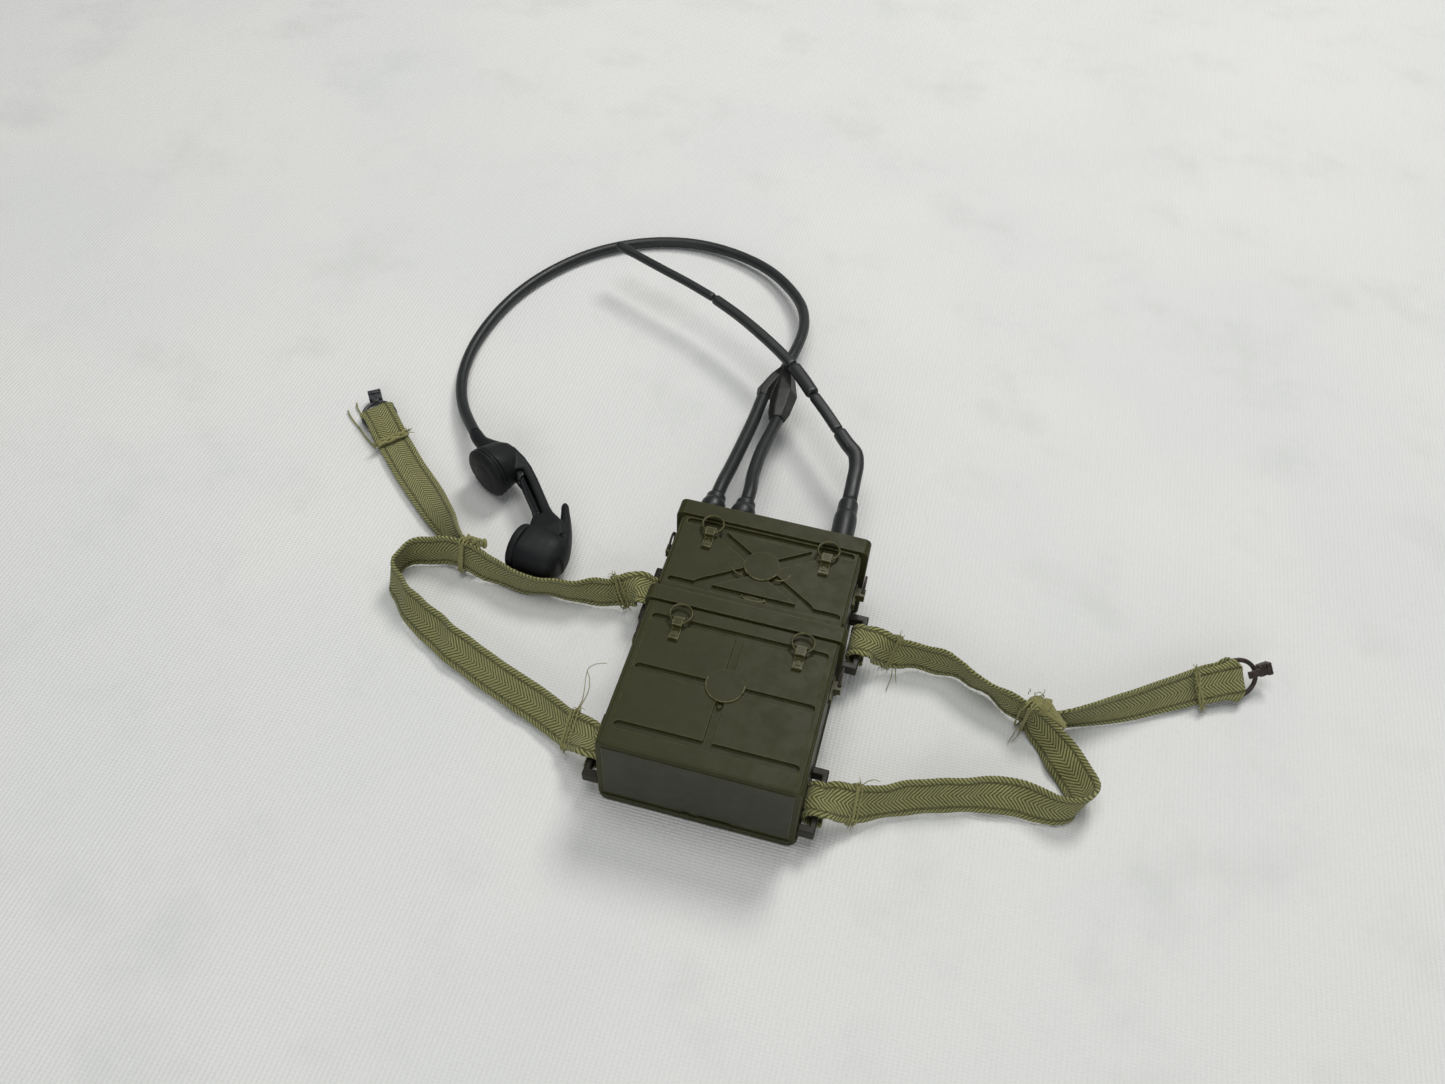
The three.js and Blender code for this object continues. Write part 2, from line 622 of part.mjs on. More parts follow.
// Side latches are the front ones laid over onto a wall.
function toSide(geometry, side, wall) {
  const g = geometry.clone();
  g.applyMatrix4(new THREE.Matrix4().makeTranslation(0, 0, -CASE_DEPTH));
  g.applyMatrix4(new THREE.Matrix4().makeRotationY(side * Math.PI / 2));
  return g.translate(side * wall, 0, SIDE_LATCH_Z);
}

function bracket(side, { y0, y1, wall, reach, z }) {
  const x0 = wall + 0.1;
  const x1 = wall + reach;
  const points = [
    [x0, y0], [x1, y0], [x1, y1], [x0, y1], [x0, y1 - 2], [x1 - BAR_THICK, y1 - 2],
    [x1 - BAR_THICK, y0 + 2], [x0, y0 + 2],
  ].map(([x, y]) => [side * x, y]);
  return prismZ(side > 0 ? points : points.reverse(), z - BAR_HEIGHT / 2, z + BAR_HEIGHT / 2);
}

// A blade section with chamfered edges, swept through its stations.
function blade(stations, halfDepth) {
  const centres = stations.map((s) => new THREE.Vector3(s[0], s[1], s[2]));
  const along = tangents(centres);
  const rings = centres.map((c, i) => {
    const up = new THREE.Vector3(0, 0, 1);
    const side = along[i].clone().cross(up).normalize();
    const [a, b] = [stations[i][3], Math.min(halfDepth, stations[i][3])];
    const profile = [
      [a, b * 0.45], [a * 0.6, b], [-a * 0.6, b], [-a, b * 0.45],
      [-a, -b * 0.45], [-a * 0.6, -b], [a * 0.6, -b], [a, -b * 0.45],
    ];
    return profile.map(([p, q]) => c.clone().addScaledVector(side, p).addScaledVector(up, q));
  });
  return loft(rings);
}

function aerialBoot() {
  const profile = [[0, 71.2], [1.95, 71.2], [1.95, 72.9], [3.5, 72.9], [3.5, 74], [3.1, 76], [3, 83],
    [2.7, 93.6], [2.5, 94.6], [0, 94.6]];
  const g = turned(profile, AERIAL.x, 0, AERIAL.z, 24);
  const position = g.getAttribute('position');
  for (let i = 0; i < position.count; i += 1) {
    const above = Math.max(0, position.getY(i) - 76);
    position.setX(i, position.getX(i) - above * 0.045);
  }
  return g;
}

function cordTube(points, radius, steps, sides) {
  const path = new THREE.CatmullRomCurve3(points.map((p) => new THREE.Vector3(...p)), false, 'centripetal');
  const section = outline(disc(0, 0, radius, radius, sides));
  return new THREE.ExtrudeGeometry(section, { steps, extrudePath: path, bevelEnabled: false });
}

function facetRing(centre, along, halfWidth, halfDepth) {
  const t = new THREE.Vector3(...along).normalize();
  const up = new THREE.Vector3(0, 0, 1);
  const side = t.clone().cross(up).normalize();
  const lift = side.clone().cross(t);
  return [[1, 0], [0.45, 1], [-0.45, 1], [-1, 0], [-0.45, -1], [0.45, -1]].map(([p, q]) => (
    new THREE.Vector3(...centre).addScaledVector(side, p * halfWidth).addScaledVector(lift, q * halfDepth)));
}

function cordJunction() {
  const main = [-0.13, 1, 0];
  const branch = [0.25, 1, 0];
  const big = loft([
    facetRing([-10.6, 124, 10.1], main, 2.5, 2.2),
    facetRing([-10.7, 127, 10.1], main, 3.3, 2.9),
    facetRing([-10.9, 134.5, 10.1], main, 4, 3.2),
    facetRing([-12.2, 142.5, 10.1], main, 2.8, 2.6),
    facetRing([-13, 148, 10], main, 2, 2),
  ]);
  const small = loft([
    facetRing([-16.9, 131.8, 10.3], branch, 2.1, 2),
    facetRing([-16.9, 134.5, 10.3], branch, 2.5, 2.3),
    facetRing([-15, 141, 10.2], branch, 2.4, 2.3),
    facetRing([-13.2, 146, 10.1], branch, 1.7, 1.7),
  ]);
  return fromManifold(union([big, small]));
}

// Handset pieces are drawn in (u, v, w) and placed on the table.
function placeHandset(geometry) {
  const u = new THREE.Vector3(...HANDSET_U).normalize();
  const w = new THREE.Vector3(0, 0, 1);
  const v = u.clone().cross(w);
  const g = geometry.clone();
  const turn = new THREE.Matrix4().makeBasis(u, v, w).setPosition(...HANDSET_AT);
  g.applyMatrix4(turn);
  const index = g.index ? g.index.array : null;
  const count = index ? index.length : g.getAttribute('position').count;
  const order = new Uint32Array(count);
  for (let i = 0; i < count; i += 3) {
    order[i] = index ? index[i] : i;
    order[i + 1] = index ? index[i + 2] : i + 2;
    order[i + 2] = index ? index[i + 1] : i + 1;
  }
  g.setIndex(new THREE.BufferAttribute(order, 1));
  return g;
}

// Round rings stacked behind a cap: (distance behind its face, radius) pairs.
function bowl(cap, profile, sides = 24) {
  const normal = new THREE.Vector3(cap.nu, cap.nv, 0).normalize();
  const side = new THREE.Vector3(-normal.y, normal.x, 0);
  const up = new THREE.Vector3(0, 0, 1);
  return loft(profile.map(([back, r]) => {
    const centre = new THREE.Vector3(cap.u, cap.v, 0).addScaledVector(normal, -back);
    const ring = [];
    for (let i = 0; i < sides; i += 1) {
      const a = i * 2 * Math.PI / sides;
      ring.push(centre.clone().addScaledVector(side, r * Math.cos(a)).addScaledVector(up, r * Math.sin(a)));
    }
    return ring;
  }));
}

function gripRing(u, inner, outer, half) {
  return [
    [inner, 0.3 * half], [inner, -0.3 * half], [inner - 1.6, -half], [outer + 0.6, -half],
    [outer, -0.6 * half],
    [outer, 0.6 * half], [outer + 0.6, half], [inner - 1.6, half],
  ].map(([v, w]) => new THREE.Vector3(u, v, w));
}

function handsetHandle() {
  const grip = loft([
    gripRing(-17.5, 0.4, -5, 2),
    gripRing(-15, -0.4, -7, 2.5),
    gripRing(-10, -2.4, -8.3, 2.6),
    gripRing(-3, -4.3, -9, 2.5),
    gripRing(4, -4.4, -8.9, 2.5),
    gripRing(10, -3.4, -8.7, 2.6),
    gripRing(17, -1.6, -10.2, 2.8),
    gripRing(23, -1, -9.4, 2.8),
  ]);
  const earBack = bowl(EAR, [[3.1, 6.9], [4.6, 6.8], [8, 5.6], [10.8, 4], [12.1, 2.4]], 20);
  const mouthRings = [[2.7, 6.3], [6, 6.5], [10, 6.3], [12.5, 5.8], [14.5, 4.8], [15.8, 3], [16.2, 1]];
  const mouthBack = bowl(MOUTH, mouthRings, 20);
  const finEdge = [[12, -8], [21, -9.4], [22, -10.2], [15, -12.2], [9.4, -13.5], [8.3, -13],
    [9.4, -11.9], [12.6, -10.6]];
  const fin = prismZ(finEdge.reverse(), -1.5, 1.5);
  const entry = loft([
    facetRing([-28.1, 1.6, -1.35], [1, -0.02, 0.2], 1.85, 1.85),
    facetRing([-24.8, 1.5, -0.9], [1, -0.25, 0.2], 2, 2),
    facetRing([-21, 0.2, -0.5], [1, -0.45, 0.2], 2.4, 2.4),
    facetRing([-15.5, -2, 0], [1, -0.45, 0], 3.2, 3),
  ]);
  const pocket = box(TALK_PIVOT[0] - 1.4, 11.4, -6.8, 0, -1.6, 1.6);
  const pivotHole = prismZ(disc(TALK_PIVOT[0], TALK_PIVOT[1], 0.5, 0.5, 12), -2.2, 2.2);
  const earSeat = bowl(EAR, [[-6, EAR.r + 0.3], [EAR.thick + 0.05, EAR.r + 0.3]]);
  const mouthSeat = bowl(MOUTH, [[-6, MOUTH.r + 0.3], [MOUTH.thick + 0.06, MOUTH.r + 0.3]]);
  const body = union([grip, earBack, mouthBack, fin, entry]);
  return fromManifold(cut(body, [earSeat, mouthSeat, pocket, pivotHole]));
}

function earCap() {
  return bowl(EAR, [[0, 5.8], [0.5, 7], [1.2, 7.4], [2.4, 7.4], [3, 7]]);
}

function mouthCap() {
  return bowl(MOUTH, [[0, 5.2], [0.4, 6.2], [0.9, 6.6], [2.2, 6.6], [2.6, 6.3]]);
}

function talkBar() {
  const [u, v] = TALK_PIVOT;
  const bar = box(u, 10.8, v - 0.7, v + 0.6, -1.4, 1.4);
  const barrel = prismZ(disc(u, v, 1, 1, 14), -1.4, 1.4);
  const pin = prismZ(disc(u, v, 0.4, 0.4, 10), -2.1, 2.1);
  const ridges = [-0.9, 0, 0.9].map((w) => box(u + 2.4, 10.2, v + 0.4, v + 0.9, w - 0.2, w + 0.2));
  return fromManifold(union([bar, barrel, pin, ...ridges]));
}

function buildCase() {
  const g = new THREE.Group();
  g.name = 'case';
  g.add(mesh('radio_case', fromManifold(radioCase()), material(OLIVE, 0.55)));
  g.add(mesh('battery_case', fromManifold(batteryCase()), material(OLIVE, 0.55)));
  g.add(mesh('back_cover', fromManifold(backCover()), material(OLIVE_DARK, 0.6)));
  g.add(mesh('top_panel', fromManifold(topPanel()), material(OLIVE, 0.55)));
  g.add(mesh('dial_window', dialWindow(), material(0x1c1d1b, 0.2)));
  SOCKET_XS.forEach((x, i) => g.add(mesh(`socket_${i + 1}`, socket(x), material(CHARCOAL, 0.5))));
  for (const k of KNOBS) g.add(mesh(k.name, knob(k), material(CHARCOAL, 0.5)));
  return g;
}

function buildLatches() {
  const g = new THREE.Group();
  g.name = 'latches';
  LATCH_YS.forEach((y, row) => {
    const level = row === 0 ? 'upper' : 'lower';
    const wall = row === 0 ? RADIO_HALF : BATTERY_HALF;
    for (const side of [-1, 1]) {
      const hand = side < 0 ? 'left' : 'right';
      const x = side * LATCH_X + 0.2;
      const plate = latchPlate(0, y, SIDE_LIFT[row]);
      const ring = latchRing(0, y, SIDE_LIFT[row]);
      g.add(mesh(`front_latch_${level}_${hand}`, latchPlate(x, y, FRONT_LIFT), material(OLIVE, 0.5)));
      g.add(mesh(`front_ring_${level}_${hand}`, latchRing(x, y, FRONT_LIFT), material(OLIVE, 0.45)));
      g.add(mesh(`side_latch_${level}_${hand}`, toSide(plate, side, wall), material(OLIVE, 0.5)));
      g.add(mesh(`side_ring_${level}_${hand}`, toSide(ring, side, wall), material(BROWN, 0.45)));
    }
  });
  return g;
}

function buildHarness() {
  const g = new THREE.Group();
  g.name = 'harness';
  for (const side of [-1, 1]) {
    const hand = side < 0 ? 'left' : 'right';
    for (const b of BRACKETS) {
      g.add(mesh(`${hand}_${b.name}_bracket`, bracket(side, b), material(BROWN, 0.5)));
    }
    const shoulder = side < 0 ? LEFT_SHOULDER : RIGHT_SHOULDER;
    const tail = side < 0 ? LEFT_TAIL : RIGHT_TAIL;
    g.add(mesh(`${hand}_shoulder_strap`, shoulderStrap(side, shoulder), material(TAPE, 0.95)));
    g.add(mesh(`${hand}_tail_strap`, tailStrap(tail, hand), material(TAPE, 0.95)));
    const clip = CLIPS[hand];
    g.add(mesh(`${hand}_clip_ring`, clipRing(tail, clip), material(BROWN, 0.4)));
    g.add(mesh(`${hand}_clip_hook`, clipHook(tail, clip), material(BROWN, 0.4)));
  }
  for (const b of BINDINGS) g.add(mesh(b.name, binding(b), material(THREAD, 0.95)));
  return g;
}

function buildAerial() {
  const g = new THREE.Group();
  g.name = 'aerial';
  g.add(mesh('aerial_boot', aerialBoot(), material(CHARCOAL, 0.6)));
  g.add(mesh('aerial_lower', blade(AERIAL_LOWER, 1.85), material(CHARCOAL, 0.6)));
  g.add(mesh('aerial_middle', blade(AERIAL_MIDDLE, 1.2), material(CHARCOAL, 0.6)));
  g.add(mesh('aerial_sleeve', blade(AERIAL_SLEEVE, 1.6), material(CHARCOAL, 0.6)));
  g.add(mesh('aerial_upper', blade(AERIAL_UPPER, 1.3), material(CHARCOAL, 0.6)));
  g.add(mesh('aerial_tip', blade(AERIAL_TIP, 1.2), material(CHARCOAL, 0.6)));
  return g;
}

function buildHandset() {
  const g = new THREE.Group();
  g.name = 'handset_set';
  SOCKET_XS.forEach((x, i) => {
    g.add(mesh(`plug_${i + 1}`, plug(x), material(CHARCOAL, 0.6)));
    g.add(mesh(`lead_${i + 1}`, cordTube(LEADS[i], LEAD_R, 14, 8), material(CHARCOAL, 0.65)));
  });
  g.add(mesh('cord_junction', cordJunction(), material(CHARCOAL, 0.6)));
  g.add(mesh('handset_cord', cordTube(CORD, CORD_R, 60, 8), material(CHARCOAL, 0.65)));
  g.add(mesh('handset_handle', placeHandset(handsetHandle()), material(CHARCOAL, 0.55)));
  g.add(mesh('ear_cap', placeHandset(earCap()), material(CHARCOAL, 0.5)));
  g.add(mesh('mouth_cap', placeHandset(mouthCap()), material(CHARCOAL, 0.5)));
  g.add(mesh('talk_bar', placeHandset(talkBar()), material(CHARCOAL, 0.5)));
  return g;
}

const group = new THREE.Group();
group.name = 'walkie_talkie';
group.add(buildCase(), buildLatches(), buildHarness(), buildAerial(), buildHandset());
group.position.y = -CASE_LENGTH / 2;

export default group;
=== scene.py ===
import math
import random

import bmesh
import bpy
import numpy as np
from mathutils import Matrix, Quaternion, Vector


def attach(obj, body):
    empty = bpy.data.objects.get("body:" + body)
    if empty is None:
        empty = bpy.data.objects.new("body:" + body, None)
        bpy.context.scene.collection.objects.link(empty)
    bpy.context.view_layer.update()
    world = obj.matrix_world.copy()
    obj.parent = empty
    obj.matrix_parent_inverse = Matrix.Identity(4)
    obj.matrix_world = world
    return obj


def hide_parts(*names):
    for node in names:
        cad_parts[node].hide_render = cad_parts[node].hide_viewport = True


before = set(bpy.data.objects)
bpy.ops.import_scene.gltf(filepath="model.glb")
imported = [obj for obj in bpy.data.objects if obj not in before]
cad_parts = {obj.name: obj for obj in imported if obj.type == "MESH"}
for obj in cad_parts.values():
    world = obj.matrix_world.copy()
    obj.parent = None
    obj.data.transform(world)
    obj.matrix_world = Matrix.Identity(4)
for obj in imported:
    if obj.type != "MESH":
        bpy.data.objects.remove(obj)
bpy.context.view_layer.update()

# Places and lengths are millimetres, counted along Y from the battery case's foot, and row() turns
# them into the frame's metres. Cord lengths, the camera, the lights and the materials are in metres.
MM = 0.001
SIDES = ((-1, "left"), (1, "right"))
CASE_LENGTH = 74.2
CASE_DEPTH = 25
RADIO_HALF = 23.5
BATTERY_HALF = 23.7
TAPE_WIDTH = 9.3
LOOP_R = 2.5
BAR_THICK = 1.6
BRACKETS = {
    "upper": {"y": (46.4, 63.4), "wall": 23.5, "reach": 5.1, "z": 7},
    "lower": {"y": (0.4, 17.6), "wall": 23.7, "reach": 4.2, "z": 6.2},
}

# A tape's stations: a place, then the direction of the tape's width.
SHOULDERS = {
    "left": [
        (-31, 55.2, 9, 0, 1, 0.2), (-33.2, 55, 7.4, 0, 0.6, 0.8), (-36.4, 54.5, 5.9, 0, 0.3, 1),
        (-42, 53.3, 5.2, 0, 0.2, 1), (-49, 51.9, 5.1, 0, 0, 1), (-57, 51, 5, 0, -0.2, 1),
        (-65, 51.2, 5, 0, 0, 1), (-72, 52.6, 5.2, 0, 0.2, 1), (-78, 54, 6.1, 0, 0.3, 1),
        (-83, 54.6, 6, 0, 0.3, 1), (-88, 54.3, 5.1, -0.1, 0.25, 1), (-92.5, 52.6, 5.2, -0.1, 0.1, 1),
        (-95.2, 49.6, 5.2, 0, 0, 1), (-95.9, 46, 5.2, 0.1, 0, 1), (-94.4, 42.2, 5.1, 0.35, 0, 1),
        (-91, 38.4, 5, 0.5, 0.2, 1), (-85.5, 34.6, 4.8, 0.5, 0.5, 0.95),
        (-77.7, 30.2, 4.7, 0.45, 0.8, 0.9), (-69.8, 26.4, 4.6, 0.42, 0.9, 0.9),
        (-59.8, 22.2, 4.5, 0.4, 1, 0.9), (-50, 18.5, 4.5, 0.38, 1.1, 0.9),
        (-41, 15, 4.6, 0.35, 1.1, 0.95), (-36.4, 12.6, 5.3, 0.2, 1.1, 0.95),
        (-33.2, 11, 7, 0.1, 1.2, 0.7), (-30.4, 9.8, 8.4, 0, 1.2, 0.2),
    ],
    "right": [
        (31, 55.2, 9, 0, 1, 0.2), (34, 55.4, 7.2, 0, 0.6, 0.8), (37.4, 56.1, 5.9, 0, 0.35, 1),
        (41, 56.8, 5.6, 0, 0.2, 1), (45, 57.2, 5.2, 0, 0.15, 1), (49.5, 57, 5.1, 0, 0.1, 1),
        (53.5, 55.9, 5.1, 0, -0.1, 1), (57, 54.2, 5.1, 0, -0.3, 1), (61, 52.8, 5.1, 0, -0.3, 1),
        (65, 51, 5.1, 0, -0.2, 1), (69, 49, 5.4, 0, 0, 1), (72.5, 47.1, 5.5, 0.1, 0, 1),
        (75.6, 44.8, 4.6, 0.4, 0.2, 1), (78.8, 41.8, 4.1, 0.6, 0.4, 0.9), (82, 38.4, 3.7, 0.9, 0.4, 0.7),
        (84.9, 34.6, 3.6, 1, 0.2, 0.7), (87, 30.9, 4.1, 0.8, 0, 0.8), (87.2, 27.3, 4.9, 0.3, -0.1, 1),
        (85.2, 24.6, 5, -0.1, 0.1, 1), (81.8, 23.5, 4.8, -0.2, 0.4, 1), (77.5, 23.9, 4.5, -0.2, 0.6, 1),
        (72.5, 24.5, 4.4, -0.2, 0.8, 1), (65.8, 23.4, 4.6, -0.2, 0.8, 1), (58.8, 21.3, 4.9, -0.2, 0.6, 1),
        (51.9, 19, 5, -0.2, 0.55, 1), (45.3, 16, 5.1, -0.2, 0.5, 1), (39.4, 13.1, 5.5, -0.2, 0.6, 1),
        (36, 11.5, 6, -0.1, 0.8, 0.9), (33, 10.4, 7.2, 0, 1, 0.6), (30.2, 9.5, 8.5, 0, 1, 0.2),
    ],
}
TAILS = {
    "left": [
        (-75.6, 55, 6.2, 0, 0.3, 1), (-80.6, 55.85, 6.2, 0, 0.3, 1), (-84.3, 58.7, 5.6, 0.3, 0.3, 0.9),
        (-88.2, 63, 4.9, 0.5, 0.3, 0.8), (-93.2, 67.8, 4, 0.65, 0.4, 0.6),
        (-100.6, 74.8, 2.8, 0.75, 0.55, 0.3),
        (-108.8, 82.3, 2, 0.75, 0.62, 0.12), (-114.4, 87.8, 1.8, 0.75, 0.64, 0.08),
        (-117.3, 90.6, 2, 0.74, 0.65, 0.06), (-120.1, 93.4, 2.1, 0.72, 0.66, 0.05),
        (-122.8, 96.2, 2.2, 0.7, 0.7, 0.04), (-125.3, 98.7, 2.2, 0.68, 0.73, 0.04),
        (-127, 100.3, 2.2, 0.67, 0.74, 0.04),
    ],
    "right": [
        (69.4, 50.4, 5.6, 0, -0.1, 1), (73.4, 48.8, 5.6, 0, -0.1, 1), (77.2, 48.2, 5.7, 0, -0.1, 1),
        (81, 49.2, 5.4, -0.1, -0.1, 1), (86, 51.7, 5.1, -0.15, 0, 1), (91, 54.5, 5, -0.2, 0.15, 1),
        (96, 57.5, 4.9, -0.25, 0.3, 1), (102, 61.5, 4.8, -0.28, 0.5, 0.9),
        (108.6, 65.8, 4.7, -0.25, 0.66, 0.78),
        (112, 67.9, 4.7, -0.24, 0.7, 0.75), (115.2, 69.9, 4.7, -0.24, 0.72, 0.73),
        (118.3, 71.7, 4.7, -0.24, 0.72, 0.73), (122.6, 74, 4.7, -0.24, 0.72, 0.73),
    ],
}

# A tail's last stations lie double, and its neck is its width where it goes through the clip. The
# gathered widths stand in for the tape's own at its start.
FOLD_STATIONS = {"left": 4, "right": 3}
GATHERED = {"left": (), "right": (4.2, 4.4, 6, 8.6)}
FOLD_NECKS = {"left": 4.8, "right": 6.6}
FOLD_GAP = 1.25
FOLD_START_GAP = 0.6
CLIP_R = 5.6
CLIP_WIRE = 0.6
CLIP_NARROWED = 0.84
CLIP_REACHES = {"left": -1.8, "right": -0.4}
CLIP_TURNS = {"left": -14, "right": 8}

SOCKET_XS = (-18.4, -10.2)
SOCKET_Z = 16.5
AERIAL_X = 17
AERIAL_Z = 15
# x, z and radius
KNOBS = {"tuning_knob": (5.4, 8.2, 3.2), "volume_knob": (-3.4, 8.2, 2.4)}
LATCH_X = 15
LATCH_YS = {"upper": 67.3, "lower": 38.2}
SIDE_LATCH_Z = 15
RING_R = 2.7
RING_WIRE = 0.32
FRONT_LIFT = 1.3
SIDE_LIFT = {"upper": 2.15, "lower": 1.8}
WALLS = {"upper": RADIO_HALF, "lower": BATTERY_HALF}

# A place and a half width
AERIAL = {
    "aerial_lower": [(16.2, 94.9, 15, 2.05), (15.9, 102, 15, 2.05), (15.3, 109.5, 15, 2.1),
                     (14.4, 112.6, 15, 2.15), (11.4, 115.9, 15.1, 2.05), (8.2, 119.8, 15.2, 1.9)],
    "aerial_middle": [(7.9, 120.2, 15.2, 1.6), (3.1, 126.2, 15.3, 1.6), (-1.8, 131.9, 15.4, 1.6)],
    "aerial_sleeve": [(-2.1, 132.3, 15.4, 2), (-6.1, 137.3, 15.5, 2), (-10.2, 142.1, 15.5, 1.95)],
    "aerial_upper": [(-10.5, 142.5, 15.5, 1.7), (-16.6, 148, 15.5, 1.65), (-22.8, 153, 15.5, 1.65),
                     (-31.8, 159.6, 15.4, 1.6), (-40.8, 165.2, 15.3, 1.6)],
    "aerial_tip": [(-41.2, 165.5, 15.3, 1.35), (-51, 170.3, 15.2, 1.3), (-61, 174.6, 15.1, 1.3),
                   (-70, 178.6, 15, 1.25), (-77.4, 182, 15, 1.25), (-78.6, 182.6, 15, 0.8)],
}
# A half depth, and how square the section is
AERIAL_SECTIONS = {
    "aerial_lower": (1.85, 2.4), "aerial_middle": (1.2, 3.2), "aerial_sleeve": (1.6, 2.6),
    "aerial_upper": (1.3, 3), "aerial_tip": (1.2, 2.6),
}
CORD_R = 1.7
LEAD_R = 1.88
LEADS = {
    "lead_1": [(-18.4, 85.6, 16.5), (-18.3, 89, 16.3), (-17.8, 98, 14.8), (-17.3, 110, 12.9),
               (-16.9, 121, 11.4), (-16.8, 131.4, 10.4)],
    "lead_2": [(-10.2, 85.6, 16.5), (-10.3, 89, 16.3), (-11.2, 97, 14.8), (-11.5, 108, 12.9),
               (-11, 117, 11.2), (-10.6, 123.6, 10.2)],
}
CORD = [
    (-13, 148.4, 10), (-12.6, 153, 9.6), (-12.2, 160, 8.6), (-12.6, 170, 7.2), (-15.6, 181, 5.6),
    (-21.8, 190.6, 4.2), (-31.2, 199.2, 3.2), (-44.6, 205, 2.5), (-58, 206.6, 2.1), (-70.2, 204.4, 1.8),
    (-81.2, 199, 1.8), (-91.4, 190.6, 1.8), (-100, 179.2, 1.8), (-106.8, 164.6, 1.8), (-110.4, 148.4, 1.8),
    (-110.8, 133.4, 1.9), (-108.2, 120.2, 2.4), (-103, 109, 3.6), (-97.8, 101.8, 5), (-94, 97.2, 6.2),
]

# The handset lies in a frame of its own: u along its grip, v towards its face and w up. Each cap has a
# centre in it and a direction that it faces.
HANDSET_AT = np.array((-75, 76, 7.6))
HANDSET_U = np.array((0.624, -0.781, 0.0))
EAR = {"u": -10.2, "v": 4.4, "nu": 0.4, "nv": 0.917}
MOUTH = {"u": 17.2, "v": 3.8, "nu": -0.737, "nv": 0.666}


# Geometry helpers

def row(points):
    """Places in millimetres as places in the frame, whose origin is half way up the case."""
    return (np.asarray(points, float) - (0, CASE_LENGTH / 2, 0)) * MM


def unit(v):
    v = np.asarray(v, float)
    return v / np.maximum(np.linalg.norm(v, axis=-1, keepdims=True), 1e-12)


def distances(line):
    """How far along a line each of its points is."""
    return np.concatenate([[0], np.cumsum(np.linalg.norm(np.diff(line, axis=0), axis=1))])


def full_turn(count):
    return np.arange(count) * 2 * math.pi / count


def smooth_path(rows, step):
    """A smooth line through rows of numbers, the first three of them a place, about step apart."""
    rows = np.asarray(rows, float)
    t = distances(rows[:, :3])
    slopes = np.gradient(rows, t, axis=0)
    at = np.linspace(0, t[-1], max(2, round(t[-1] / step) + 1))
    i = np.clip(np.searchsorted(t, at, side="right") - 1, 0, len(t) - 2)
    h = (t[i + 1] - t[i])[:, None]
    s = (at - t[i])[:, None] / h
    start = rows[i] * (1 + 2 * s) * (1 - s) ** 2 + slopes[i] * h * s * (1 - s) ** 2
    return start + rows[i + 1] * s * s * (3 - 2 * s) + slopes[i + 1] * h * s * s * (s - 1)


def straight_path(points, step):
    """Straight runs between points, with a vertex about every step."""
    points = np.asarray(points, float)
    s = distances(points)
    at = np.linspace(0, s[-1], max(2, round(s[-1] / step) + 1))
    return np.stack([np.interp(at, s, points[:, k]) for k in range(3)], axis=1)


def placed(name, data):
    """A new object in the scene."""
    o = bpy.data.objects.new(name, data)
    bpy.context.scene.collection.objects.link(o)
    return o


def piece(name, vertices, faces, material, body, replaces=(), attributes=None):
    """A new mesh piece, its vertices in the frame's metres, that rides on a body."""
    mesh = bpy.data.meshes.new(name)
    mesh.from_pydata([tuple(v) for v in vertices], [], [tuple(f) for f in faces])
    bm = bmesh.new()
    bm.from_mesh(mesh)
    bmesh.ops.recalc_face_normals(bm, faces=bm.faces)
    bm.to_mesh(mesh)
    bm.free()
    for p in mesh.polygons:
        p.use_smooth = True
    for key, values in (attributes or {}).items():
        layer = mesh.attributes.new(key, "FLOAT_VECTOR", "POINT")
        layer.data.foreach_set("vector", np.asarray(values, np.float32).ravel())
    mesh.materials.append(material)
    o = placed(name, mesh)
    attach(o, body)
    if replaces:
        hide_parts(*replaces)
    return o


def skin(rings, closed=False):
    """Faces over equal rings of points, capped at both ends unless they close on themselves."""
    rings = np.asarray(rings, float)
    count, n = rings.shape[:2]
    faces = []
    for k in range(count if closed else count - 1):
        a, b = k * n, (k + 1) % count * n
        faces += [(a + i, a + (i + 1) % n, b + (i + 1) % n, b + i) for i in range(n)]
    if not closed:
        faces += [tuple(range(n)), tuple((count - 1) * n + i for i in range(n))[::-1]]
    return rings.reshape(-1, 3), faces


def frames(line, up, closed=False):
    """Tangents, and two directions square to them, the second nearest to up."""
    if closed:
        tangent = unit(np.roll(line, -1, axis=0) - np.roll(line, 1, axis=0))
    else:
        tangent = unit(np.gradient(line, axis=0))
    up = np.broadcast_to(np.asarray(up, float), tangent.shape)
    lift = unit(up - (up * tangent).sum(1, keepdims=True) * tangent)
    return tangent, np.cross(tangent, lift), lift


def carried_frames(line):
    """Two directions square to a line that turn as little as they can along it."""
    tangent = unit(np.gradient(line, axis=0))
    seed = np.eye(3)[np.abs(tangent[0]).argmin()]
    side = [unit(np.cross(tangent[0], seed))]
    for t in tangent[1:]:
        side.append(unit(side[-1] - side[-1] @ t * t))
    side = np.array(side)
    return side, np.cross(tangent, side)


def tube(line, radius, sides, closed=False, up=None):
    """A round tube's points and faces, with how far along and how far round each point is."""
    line = np.asarray(line, float)
    if up is None:
        a, b = carried_frames(line)
    else:
        _, a, b = frames(line, up, closed)
    turn = full_turn(sides)
    r = np.broadcast_to(np.asarray(radius, float), (len(line),))[:, None, None]
    ring = a[:, None] * np.cos(turn)[None, :, None] + b[:, None] * np.sin(turn)[None, :, None]
    points, faces = skin(line[:, None] + ring * r, closed)
    along = np.repeat(distances(line), sides)
    return points, faces, np.stack([along, np.tile(turn, len(line)), along * 0], axis=1)


